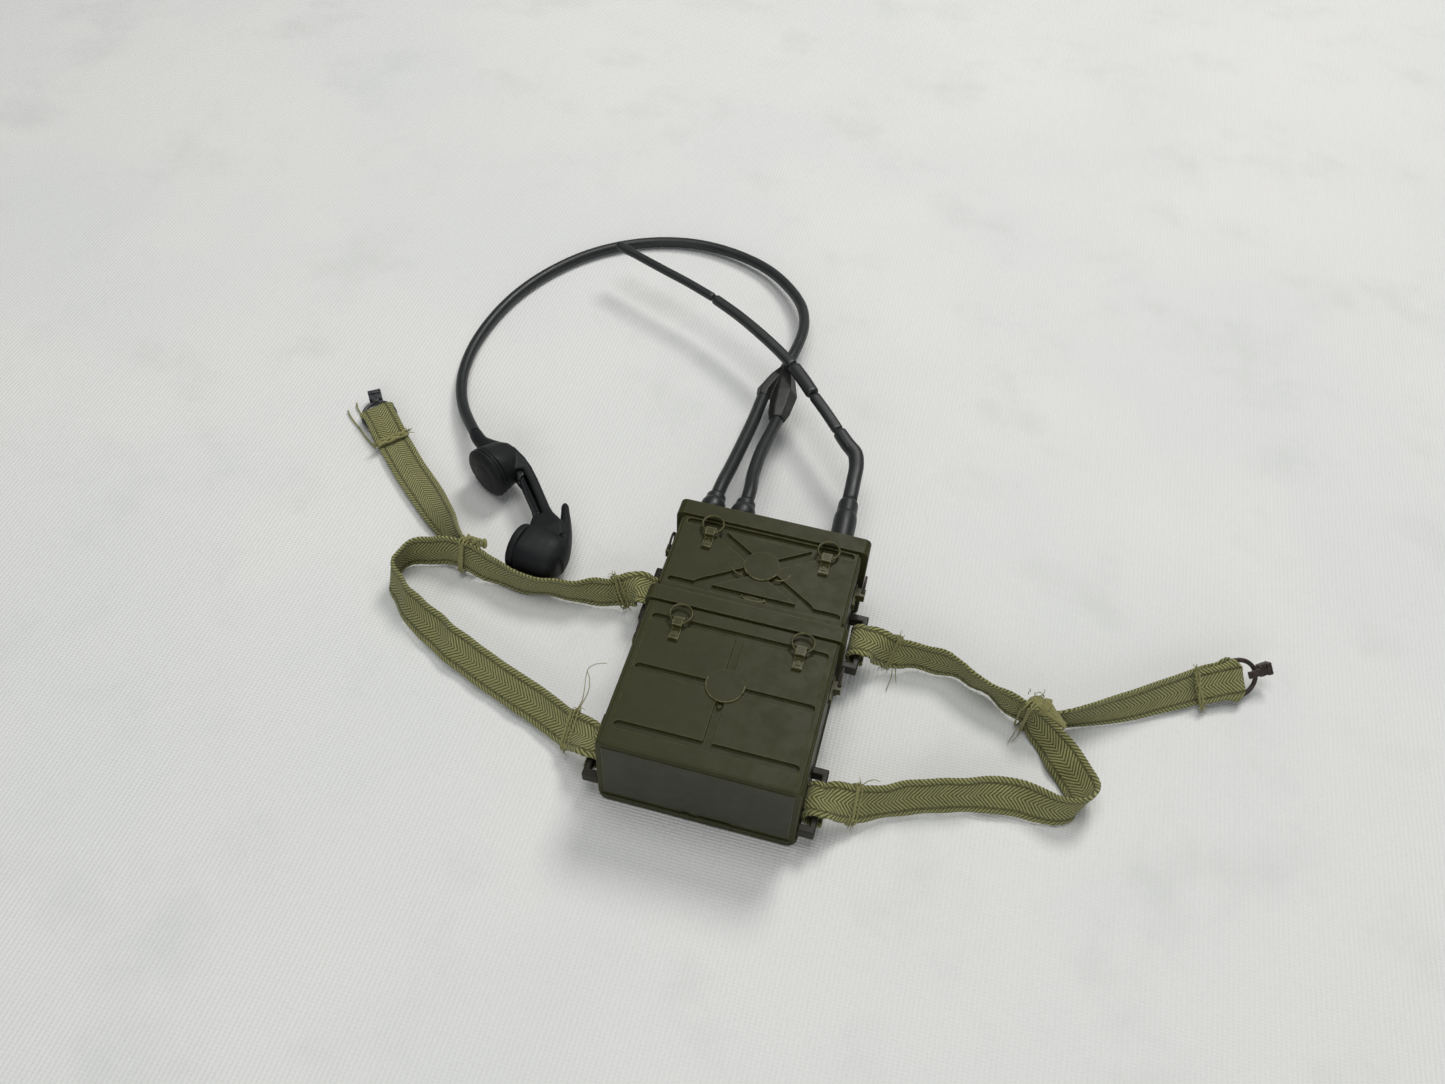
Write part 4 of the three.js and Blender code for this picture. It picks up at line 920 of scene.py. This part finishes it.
def folded_tail(stations, folded, neck, gathered):
    """The tail's end goes through its clip and comes back on top of itself."""
    s = np.array(stations, float)
    along = unit(np.gradient(s[:, :3], axis=0))
    first = len(s) - folded
    out, back = [], []
    for i in range(len(s)):
        up = unit(s[i, 3:] - s[i, 3:] @ along[i] * along[i])
        normal = np.cross(along[i], up)
        if normal[2] < 0:
            normal = -normal
        share = max(0, (i - first + 1) / folded)
        g = 0 if i < first - 1 else FOLD_START_GAP + (FOLD_GAP - FOLD_START_GAP) * min(1, share * 4)
        width = gathered[i] if i < len(gathered) else TAPE_WIDTH
        out.append((*(s[i, :3] - normal * g), *up, width))
        if i < first - 1:
            continue
        back.insert(0, (*(s[i, :3] + normal * g), *up, TAPE_WIDTH))
        if i < len(s) - 1:
            continue
        for t in np.radians((45, 90, 135)):
            p = s[i, :3] - normal * g * math.cos(t) + along[i] * g * math.sin(t)
            out.append((*p, *up, neck))
    return out + back


def build_straps():
    straps = {}
    for side, hand in SIDES:
        start = bar_loop(side, BRACKETS["upper"])
        end = bar_loop(side, BRACKETS["lower"])[::-1]
        shoulder = Ribbon([*start, *SHOULDERS[hand], *end], 3 + side, crumple=1.9)
        shoulder.build(f"{hand}_shoulder_tape", "case", [f"{hand}_shoulder_strap"])
        stitches = shoulder.stitches(1, shoulder.along[-1] - 1)
        add_threads(f"{hand}_shoulder_stitches", stitches, material=SEWING)
        stations = folded_tail(TAILS[hand], FOLD_STATIONS[hand], FOLD_NECKS[hand], GATHERED[hand])
        tail = Ribbon(stations, 13 + side, crumple=0.9)
        tail.build(f"{hand}_tail_tape", "case", [f"{hand}_tail_strap"])
        add_threads(f"{hand}_tail_stitches", tail.stitches(4, tail.along[-1] - 2), material=SEWING)
        straps[hand] = (shoulder, tail)
    return straps


STRAPS = build_straps()


BINDING_TURNS = 4
BINDING_HALF_WIDTH = 4.85
BINDING_THICK = 0.19
KNOT_THICK = 0.24
# A loose end's drop for each millimetre of its length, and the lowest that it may lie
SAG = 0.048
LOWEST_THREAD = 0.35


def wrap(ribbon, i, shift, a, b, skew, lift, start):
    """One turn of thread round the tape: a and b are its half width and half thickness."""
    t = np.linspace(0, 2 * math.pi, 41) + start
    c, s = np.cos(t), np.sin(t)
    across = a * np.sign(c) * np.abs(c) ** 0.35
    over = b * np.sign(s) * np.abs(s) ** 0.5 + lift
    along = shift + skew * s + 0.25 * np.linspace(-1, 1, 41)
    return (ribbon.line[i] + ribbon.side[i] * across[:, None] + ribbon.normal[i] * over[:, None]
            + ribbon.tangent[i] * along[:, None])


def curl(start, direction, length, rng, bend, count, thick=0.13, tip=0.06):
    """A loose thread end that curls, sinks and thins as it goes."""
    p = np.array(start, float)
    d = unit(direction)
    axis = unit([rng.uniform(-1, 1), rng.uniform(-1, 1), rng.uniform(-0.6, 0.6)])
    line = [p]
    step = length / count
    for k in range(count):
        turn = bend * step / max(length, 0.5) * (0.6 + k / count)
        d = unit(d + np.cross(axis, d) * turn + (0, 0, -SAG * step))
        p = p + d * step
        p[2] = max(p[2], LOWEST_THREAD)
        line.append(p)
    return tube(line, np.linspace(thick, tip, len(line)), 5)


def strand(path, thick, tip, sides=6):
    """A thread along a path, thinning evenly."""
    line = smooth_path(path, 0.3)
    return tube(line, np.linspace(thick, tip, len(line)), sides)


def bracket_binding(name, hand, place, seed, tuft, ends=()):
    """Thread wound round the tape beside a bracket, with frayed ends at both edges."""
    rng = random.Random(seed)
    ribbon = STRAPS[hand][0]
    i = ribbon.nearest(place)
    along, side, normal = ribbon.tangent[i], ribbon.side[i], ribbon.normal[i]
    parts = []
    for k in range(BINDING_TURNS):
        half_thick = 0.75 + rng.uniform(-0.05, 0.12)
        skew = rng.uniform(-0.5, 0.5)
        shift = 0.5 * k - 0.75
        line = wrap(ribbon, i, shift, BINDING_HALF_WIDTH, half_thick, skew, 0, rng.uniform(0, 6))
        parts.append(tube(line, BINDING_THICK, 7))
    for edge in (-1, 1):
        for _ in range(tuft):
            start = ribbon.line[i] + side * edge * 4.8
            start = start + along * rng.uniform(-0.9, 0.9) + normal * rng.uniform(-0.5, 0.5)
            way = side * edge * 0.9 + (rng.uniform(-1, 1), rng.uniform(-1, 1), rng.uniform(-0.3, 0.5))
            parts.append(curl(start, way, rng.uniform(0.8, 2.1), rng, rng.uniform(1, 4), 9))
    parts += [strand(path, 0.14, 0.08) for path in ends]
    add_threads(name + "_thread", parts, [name])


bracket_binding("left_upper_binding", "left", (-36, 54.6, 6.15), 21, 9)
bracket_binding("left_lower_binding", "left", (-34.4, 11.6, 6.3), 22, 10, [
    [(-34.4, 16, 7.5), (-33.6, 18.5, 8.6), (-33.2, 21.5, 9.4), (-34, 24.6, 9.8), (-35.3, 27, 9.6),
     (-34.2, 29.2, 9.2), (-31.6, 30.6, 8.8)],
    [(-34.8, 16, 7.2), (-34.1, 19, 8), (-34.5, 22, 8.4), (-35.2, 25, 8.6), (-35.6, 27.4, 8.6)],
])
bracket_binding("right_upper_binding", "right", (36.4, 55.85, 6.25), 23, 7, [
    [(37.2, 53.6, 2.2), (37.4, 51.8, 1.4), (37.1, 49.8, 0.8), (36.8, 47.9, 0.4)],
    [(38, 53.8, 2.2), (38.4, 52, 1.6), (38.9, 50.4, 1)],
])
bracket_binding("right_lower_binding", "right", (35, 11.15, 6.35), 24, 9, [
    [(35.8, 14, 10.2), (37, 15.2, 11), (38.4, 15.8, 11.4), (39.8, 15.6, 11.6)],
])


def knot_wraps(hand, place, a, b, lift, count, seed):
    """Turns of thread round a shoulder tape and the tail that lies on it."""
    rng = random.Random(seed)
    ribbon = STRAPS[hand][0]
    i = ribbon.nearest(place)
    parts = []
    for k in range(count):
        half_width, half_thick = a + rng.uniform(0, 0.3), b + rng.uniform(0, 0.2)
        shift = (k / (count - 1) - 0.5) * 1.8
        skew = rng.uniform(-0.7, 0.7)
        line = wrap(ribbon, i, shift, half_width, half_thick, skew, lift, rng.uniform(0, 6))
        parts.append(tube(line, KNOT_THICK, 8))
    return parts


def left_knot():
    """Wraps round both tapes, with a clump of small curls standing on their top edges."""
    rng = random.Random(31)
    parts = knot_wraps("left", (-79.5, 54.6, 6.2), 4.95, 1.5, 0.0, 4, 32)
    for k in range(7):
        x = -79.6 + 0.85 * k + rng.uniform(-0.3, 0.3)
        centre = np.array([x, 56.2 + rng.uniform(-0.7, 0.9), 10.6 + rng.uniform(-0.5, 0.5)])
        r = rng.uniform(0.65, 1.05)
        tilt = rng.uniform(0, math.pi)
        t = np.linspace(0, 1.7 * math.pi, 20) + rng.uniform(0, 6)
        lay = (math.cos(tilt), math.sin(tilt), 0)
        line = centre + np.outer(r * np.cos(t), lay) + np.outer(r * np.sin(t), (0.2, 0.35, 0.9))
        parts.append(tube(line, 0.42, 8))
    for _ in range(8):
        start = (-79.5 + rng.uniform(-1, 5), 56, 10.8)
        way = (rng.uniform(-1, 1), rng.uniform(0, 1), 0.7)
        parts.append(curl(start, way, rng.uniform(1, 2.4), rng, 2.5, 8))
    for _ in range(5):
        start = (-79.5 + rng.uniform(-1, 1), 53.4, 2)
        way = (rng.uniform(-1, 1), -0.7, -0.5)
        parts.append(curl(start, way, rng.uniform(0.8, 1.6), rng, 2, 7))
    add_threads("left_knot_thread", parts, ["left_knot"])


def right_knot():
    """The tail's scrunched end, tied over the shoulder tape's top edge."""
    rng = random.Random(41)
    parts = knot_wraps("right", (72.2, 48, 5.6), 4.9, 1.7, 0.4, 3, 42)
    for k in range(4):
        d = (k - 1.5) * 0.66
        line = smooth_path([
            (70.2 + 0.3 * k, 48.4 + d * 0.6, 8.2), (72 + 0.4 * d, 49.2 + d * 0.9, 10.2 - abs(d) * 0.3),
            (74.8 + 0.4 * d, 48.1 + d, 10.5 - abs(d) * 0.4),
            (77.6 + 0.3 * d, 46.7 + d * 0.8, 9.5 - abs(d) * 0.4), (80.6, 45.2 + d * 0.6, 7.8),
        ], 0.3)
        wobble = 0.14 * np.sin(np.linspace(0, 9, len(line)) + k)
        line = line + np.outer(wobble, (0.3, 1, 0.5))
        parts.append(tube(line, 0.54 + 0.07 * np.sin(np.linspace(0, 26, len(line)) + 2.1 * k), 8))
    for k in range(3):
        lean = (k - 1) * 0.55
        parts.append(strand([
            (75.4 + lean, 50, 9), (75.6 + lean, 49.8, 10.6), (75.5 + lean, 48.4, 11.4 - 0.3 * abs(lean)),
            (75 + lean, 46.8, 10.8), (74.4 + lean, 46, 9.2),
        ], 0.3, 0.3, 8))
    for _ in range(9):
        start = (rng.uniform(70.5, 75), 50.2 + rng.uniform(-0.5, 1), 10.6)
        way = (rng.uniform(-1, 1), rng.uniform(0, 1), 0.6)
        parts.append(curl(start, way, rng.uniform(0.9, 2), rng, 2.5, 8, 0.14))
    for path in ([(70.8, 46.4, 2.2), (70, 44.6, 1.4), (69.2, 42.8, 0.9), (68.6, 41.2, 0.5)],
                 [(71.2, 46, 2), (70.8, 44, 1.2), (69.6, 42, 0.6)]):
        parts.append(strand(path, 0.16, 0.08))
    add_threads("right_knot_thread", parts, ["right_knot"])


left_knot()
right_knot()


def crossing_threads(tail, spot, lift, count, radius, spread, seed):
    """Twisted threads across the fold of a tail, with a tuft at each of their ends."""
    rng = random.Random(seed)
    i = tail.nearest(spot)
    along, side, up = tail.tangent[i], tail.side[i], tail.normal[i] * tail.up_sign(i)
    share = np.linspace(-1, 1, 26)
    parts = []
    for k in range(count):
        sway = spread * np.sin(2.6 * share + 2 * k * math.pi / count)
        rise = lift + 0.2 - 0.35 * np.abs(share) ** 8 + 0.08 * np.sin(20 * share + 3 * k)
        line = tail.line[i] + np.outer(share * 4.75, side) + np.outer(rise, up) + np.outer(sway, along)
        parts.append(tube(line, radius * (1 + 0.18 * np.sin(9 * share + k)), 8))
    for edge, tuft in ((-1, 12), (1, 8)):
        for _ in range(tuft):
            start = tail.line[i] + side * edge * 4.7 + up * 0.5 + along * rng.uniform(-0.6, 0.6)
            way = side * edge * 0.8 + (rng.uniform(-0.9, 0.9), rng.uniform(-0.6, 0.6), 0.25)
            parts.append(curl(start, way, rng.uniform(0.9, 2.3), rng, rng.uniform(0.8, 3), 9, 0.15, 0.07))
    return parts


def folded_edge(tail, length, seed):
    """The frayed raw end of a folded tail, where it lies on the layer below."""
    rng = random.Random(seed)
    last = len(tail.line) - 2
    along, side, normal = tail.tangent[last], tail.side[last], tail.normal[last]
    parts = []
    for share in np.linspace(-0.95, 0.95, 34):
        start = tail.at(np.array([last]), np.array([share]), np.array([rng.uniform(-0.3, 0.3)]))[0]
        way = along + side * rng.uniform(-0.8, 0.8) + normal * rng.uniform(-0.5, 0.5)
        reach = rng.uniform(0.35, 1) * length
        parts.append(curl(start, way, reach, rng, rng.uniform(0.5, 2.5), 6, 0.16, 0.07))
    return parts


def stray_threads():
    """Two long thread ends that stand off the left tail's outer edge beside its clip."""
    return [strand(path, 0.26, 0.26, 7) for path in (
        [(-120.8, 87.4, 2.4), (-123, 88.6, 1), (-126.6, 91.2, 0.5), (-130.2, 94.2, 0.4), (-133.2, 96.5, 0.4),
         (-135.2, 98.3, 0.4), (-136.5, 99.7, 0.5)],
        [(-125.8, 93, 2), (-128.4, 95.2, 0.8), (-130.8, 97.9, 0.4), (-132.8, 100.2, 0.4), (-134.6, 102, 0.4),
         (-135.4, 103.4, 0.5)],
    )]


def sew_tails():
    right = STRAPS["right"][1]
    add_threads("right_fold_threads", crossing_threads(right, (112.9, 67.5, 5.6), 0.45, 2, 0.28, 0.4, 51))
    add_threads("right_fold_fray", folded_edge(right, 0.8, 52))
    left = STRAPS["left"][1]
    add_threads("left_fold_threads", crossing_threads(left, left.line[-3], 0.35, 3, 0.44, 0.75, 54))
    add_threads("left_fold_fray", folded_edge(left, 1.2, 53))
    add_threads("left_stray_threads", stray_threads())


sew_tails()


def clip_frame(hand):
    """A clip's frame at the end of a tail: X along the tape, Z up off its face, in millimetres."""
    s = np.array(TAILS[hand], float)
    along = unit(s[-1, :3] - s[-2, :3])
    up = unit(s[-1, 3:] - s[-1, 3:] @ along * along)
    normal = np.cross(along, up)
    if normal[2] < 0:
        up, normal = -up, -normal
    turn = math.radians(CLIP_TURNS[hand])
    x = along * math.cos(turn) + up * math.sin(turn)
    y = up * math.cos(turn) - along * math.sin(turn)
    return s[-1, :3] + along * CLIP_REACHES[hand], x, y, normal


def build_clips():
    for hand in ("left", "right"):
        at, x, y, z = clip_frame(hand)
        line = oval_ring(at, x, y, CLIP_R, CLIP_R * CLIP_NARROWED, 2, 72)
        metal = CLIP_METALS[hand]
        rod(f"{hand}_clip_wire", line, CLIP_WIRE, metal, f"{hand}_clip",
            [f"{hand}_clip_ring"], 12, True, z)
        soften(f"{hand}_clip_hook", metal, 0.13, 4)


build_clips()
for hand in ("left", "right"):
    for level in BRACKETS:
        dress(f"{hand}_{level}_bracket", BRACKET, 0.4)


# Aerial, plugs and handset

def blade(node, stations, depth, power):
    """An aerial section, slightly flattened, with rounded ends."""
    path = smooth_path(stations, 0.7)
    line = path[:, :3]
    _, side, lift = frames(line, (0, 0, 1))
    s = distances(line)
    end = np.minimum(s, s[-1] - s)
    shrink = 0.82 + 0.18 * np.sqrt(np.clip(1 - (1 - end / 0.5).clip(0, 1) ** 2, 0, 1))
    rings = []
    for k in range(len(line)):
        half = path[k, 3]
        rings.append(oval_ring(line[k], side[k], lift[k], half * shrink[k], min(depth, half) * shrink[k],
                               power, 20, 0.5))
    solid(node + "_vinyl", rings, VINYL, "aerial", [node])


for node, stations in AERIAL.items():
    blade(node, stations, *AERIAL_SECTIONS[node])


def aerial_rib(name, points, radius):
    rod(name, smooth_path(points, 0.6), radius, VINYL, "aerial")


aerial_rib("aerial_rib_lower", [(12.2, 113.2, 16.4), (9.6, 116.4, 16.5), (7.2, 119.2, 16.4)], 0.34)
aerial_rib("aerial_rib_middle", [(6.9, 120.4, 15.9), (2.6, 125.7, 16), (-1.6, 130.7, 16.1)], 0.3)

# Turned outlines: a radius and a place along Y
BOOT = [(0.01, 71.2), (1.95, 71.2), (1.95, 72.9), (3.5, 72.9), (3.5, 74), (3.15, 76), (3.1, 80),
        (3.15, 87.5), (3.05, 89), (2.75, 90), (2.7, 93.6), (2.4, 94.6), (0.01, 94.6)]
PLUG = [(0.01, 71.2), (1.85, 71.2), (1.85, 76.2), (3.3, 76.2), (3.3, 76.9), (3, 77.4), (3, 79), (3.35, 79.8),
        (3.4, 81.2), (3.2, 82.3), (2.7, 83), (2.65, 84.8), (2.1, 85.3), (0.01, 85.3)]
SOCKET = [(2, 72.8), (3.5, 72.8), (3.5, 75.6), (3.1, 76), (2, 76)]


def turned(name, node, profile, x, z, body, material, lean=0.0, closed=False):
    rings = np.array(lathe(rounded_profile(profile, 0.3), (x, 0, z), (0, 1, 0)))
    rings[..., 0] -= lean * np.clip(rings[..., 1] - 76, 0, None)
    solid(name, rings, material, body, [node], closed)


turned("aerial_boot_vinyl", "aerial_boot", BOOT, AERIAL_X, AERIAL_Z, "aerial", VINYL, 0.045)
for number, x in enumerate(SOCKET_XS, 1):
    turned(f"plug_{number}_vinyl", f"plug_{number}", PLUG, x, SOCKET_Z, "handset_set", VINYL)
    turned(f"socket_{number}_ring", f"socket_{number}", SOCKET, x, SOCKET_Z, "case", BLACK,
           closed=True)


def knob(node, x, z, r):
    """A fluted knob with a pointer line on its top."""
    profile = [(0.01, 71), (0.75, 71), (0.75, 73), (r * 0.9, 73), (r, 73.4), (r, 76.4), (r - 0.5, 77.2),
               (0.01, 77.2)]
    rings = []
    for radius, height in rounded_profile(profile, 0.25):
        fluted = 0.045 if radius > r * 0.86 else 0.0
        rings += lathe([(radius, height)], (x, 0, z), (0, 1, 0), 96, fluted, 16)
    solid(node + "_grip", rings, BLACK, node, [node])
    line = smooth_path([(x, 77.25, z + 0.2), (x, 77.25, z + r - 0.5)], 0.3)
    rod(node + "_pointer", line, 0.22, LATCH_HIGHLIT, node)


for node, (x, z, r) in KNOBS.items():
    knob(node, x, z, r)

soften("cord_junction", WORN_VINYL, 0.2, 4)


def handset(points):
    """Points of the handset's own frame, (u along the grip, v towards its face, w up), placed."""
    w = np.array((0, 0, 1.0))
    u = unit(HANDSET_U)
    v = np.cross(u, w)
    p = np.asarray(points, float)
    return HANDSET_AT + p[..., :1] * u + p[..., 1:2] * v + p[..., 2:] * w


def face_axes(place):
    """A cap's centre, the direction that it faces and the direction across it."""
    normal = unit((place["nu"], place["nv"], 0))
    return np.array((place["u"], place["v"], 0)), normal, np.array((-normal[1], normal[0], 0))


def grip_ring(u, inner, outer, half, notch, roof):
    """One section of the grip; notch and roof cut back its inner side so that the talk bar shows."""
    floor = inner - notch
    top = inner - roof
    soft = 0.5 * half
    outline = [(top - 0.35, half), (top, 0.85 * half), (top, 1.62), (floor, 1.62), (floor, -1.62),
               (inner, -1.62), (inner, -0.8 * half), (inner - 0.9, -half), (outer + 1.3, -half),
               (outer + 0.35, -0.85 * half),
               (outer, -soft), (outer, soft), (outer + 0.35, 0.85 * half), (outer + 1.3, half)]
    return [(u, v, w) for v, w in outline]


def bowl_rings(place, profile, power):
    """Rings behind a cap: (distance behind its face, half width, half height, drop) rows."""
    centre, normal, side = face_axes(place)
    rings = []
    for back, half_side, half_up, drop in profile:
        at = centre - normal * back + side * drop
        rings.append(oval_ring(at, side, (0, 0, 1), half_side, half_up, power, 32))
    return rings


def tapered(stations):
    """Rings along stations of u, v, w, half width and half height."""
    path = smooth_path(stations, 0.8)
    _, side, lift = frames(path[:, :3], (0, 0, 1))
    return [oval_ring(p[:3], a, b, p[3], p[4], 2.2, 24) for p, a, b in zip(path, side, lift)]


# The grip's sections as grip_ring takes them, the bowls' rows, and the stations of the fin and the
# entry that the cord comes out of.
GRIP = [(-17, 0.6, -4.8, 3.6, 0, 0), (-14.5, 0, -6.7, 3.8, 0, 0), (-10.5, -1.8, -8.1, 3.4, 0, 0),
        (-6.9, -3.3, -8.8, 2.9, 0, 0), (-6.7, -3.4, -8.8, 2.8, 2.9, 2.5), (-2, -4.2, -9, 2.5, 2.5, 2),
        (4, -4.3, -8.9, 2.5, 2.5, 1.9), (9, -3.7, -8.8, 2.7, 3.1, 2.3), (11.2, -3, -9, 2.9, 3.8, 2.9),
        (11.5, -3, -9, 3, 0, 0), (14.5, -1.2, -9.8, 3.6, 0, 0), (17, 0.5, -10.4, 4, 0, 0),
        (21, 0.5, -9.6, 4, 0, 0)]
EAR_BOWL = [(3.05, 6.95, 6.95, 0), (4.2, 6.95, 6.7, 0), (6, 6.8, 6, 0), (8, 6.2, 5.1, 0.2),
            (10, 5.1, 4.2, 0.4), (11.4, 3.6, 3.2, 0.7), (12, 1.8, 1.8, 0.8)]
MOUTH_BOWL = [(2.65, 6.3, 6.3, 0), (5, 6.5, 6.3, 0), (8, 6.5, 6.1, 0), (10.5, 6.4, 5.8, 0),
              (12.3, 5.9, 5.2, 0), (13.5, 5.1, 4.4, 0), (14.3, 3.8, 3.2, 0), (14.6, 2, 1.6, 0)]
FIN = [(27.8, -4.2, 0, 2, 4.2), (25.3, -6.5, 0, 2, 4), (22, -8.5, 0, 1.8, 3.5), (18.5, -9.9, 0, 1.75, 2.8),
       (14.5, -11.3, 0, 1.5, 2.1), (11, -12.4, 0, 1.15, 1.6), (9.1, -13, 0, 0.95, 1.3),
       (8.3, -13.3, 0, 0.45, 0.7)]
ENTRY = [(-28.1, 1.6, -1.35, 1.85, 1.85), (-26, 1.5, -1.05, 1.95, 1.95), (-23, 1, -0.6, 2.1, 2.1),
         (-20, 0, -0.2, 2.8, 2.7), (-17, -1.2, 0, 3.8, 3.5), (-13.5, -2.2, 0, 5, 4.2),
         (-11.5, -2.6, 0, 5, 4)]


def handset_handle():
    """Grip, both bowls, the fin and the cord's flared entry, moulded as one."""
    parts = []
    for rings in ([grip_ring(*g) for g in GRIP], bowl_rings(EAR, EAR_BOWL, 2.3),
                  bowl_rings(MOUTH, MOUTH_BOWL, 2.7), tapered(FIN), tapered(ENTRY)):
        points, faces = skin(row([handset(np.array(r, float)) for r in rings]))
        parts.append((points, faces, points * 0))
    points, faces, _ = merged(parts)
    o = piece("handset_handle_shell", points, faces, BLACK, "handset_set",
              ["handset_handle"])
    melt(o, 0.2, 18)


handset_handle()


# A distance behind the cap's face and a radius
EAR_CAP = [(-0.25, 0.02), (-0.2, 2.6), (0, 3.4), (0.05, 5.4), (0.35, 6.6), (1, 7.35), (1.5, 7.45),
           (1.75, 7.1), (2, 7.1), (2.2, 7.4), (2.8, 7.3), (3, 6.8), (3, 0.02)]
MOUTH_CAP = [(-0.15, 0.02), (-0.1, 3), (0.1, 5.2), (0.45, 6.2), (0.95, 6.6), (2.2, 6.6), (2.6, 6.3),
             (2.6, 0.02)]


def cap(node, place, profile):
    """A round cap, turned about its own axis."""
    centre, normal, side = face_axes(place)
    rings = []
    for back, r in rounded_profile(profile, 0.3):
        rings.append(handset(oval_ring(centre - normal * back, side, (0, 0, 1), r, r, 2, 64)))
    solid(node + "_shell", rings, BLACK, "handset_set", [node])


cap("ear_cap", EAR, EAR_CAP)
cap("mouth_cap", MOUTH, MOUTH_CAP)
soften("talk_bar", BLACK, 0.1, 2)


def talk_bar_details():
    """Two long ribs on the bar's upper edge and the knuckle that it turns on."""
    for number, (v, w) in enumerate(((-4.25, 1.3), (-5.2, 1.5)), 1):
        line = [(-3.2, v - 0.1, w - 0.1), (2, v, w), (7, v + 0.05, w), (10.3, v + 0.1, w - 0.1)]
        rod(f"talk_bar_rib_{number}", handset(smooth_path(line, 0.5)), 0.27, GLOSS, "talk_bar",
            sides=10)
    profile = [(0.01, -1.4), (1.15, -1.4), (1.15, 0.1), (0.85, 0.25), (0.85, 0.6), (1.15, 0.75), (1.15, 2),
               (0.8, 2.35), (0.01, 2.35)]
    rings = []
    for r, h in rounded_profile(profile, 0.2):
        rings.append(handset(oval_ring((-5.2, -4.9, h), (1, 0, 0), (0, 1, 0), r, r, 2, 32)))
    solid("talk_bar_knuckle", rings, GLOSS, "talk_bar")


talk_bar_details()
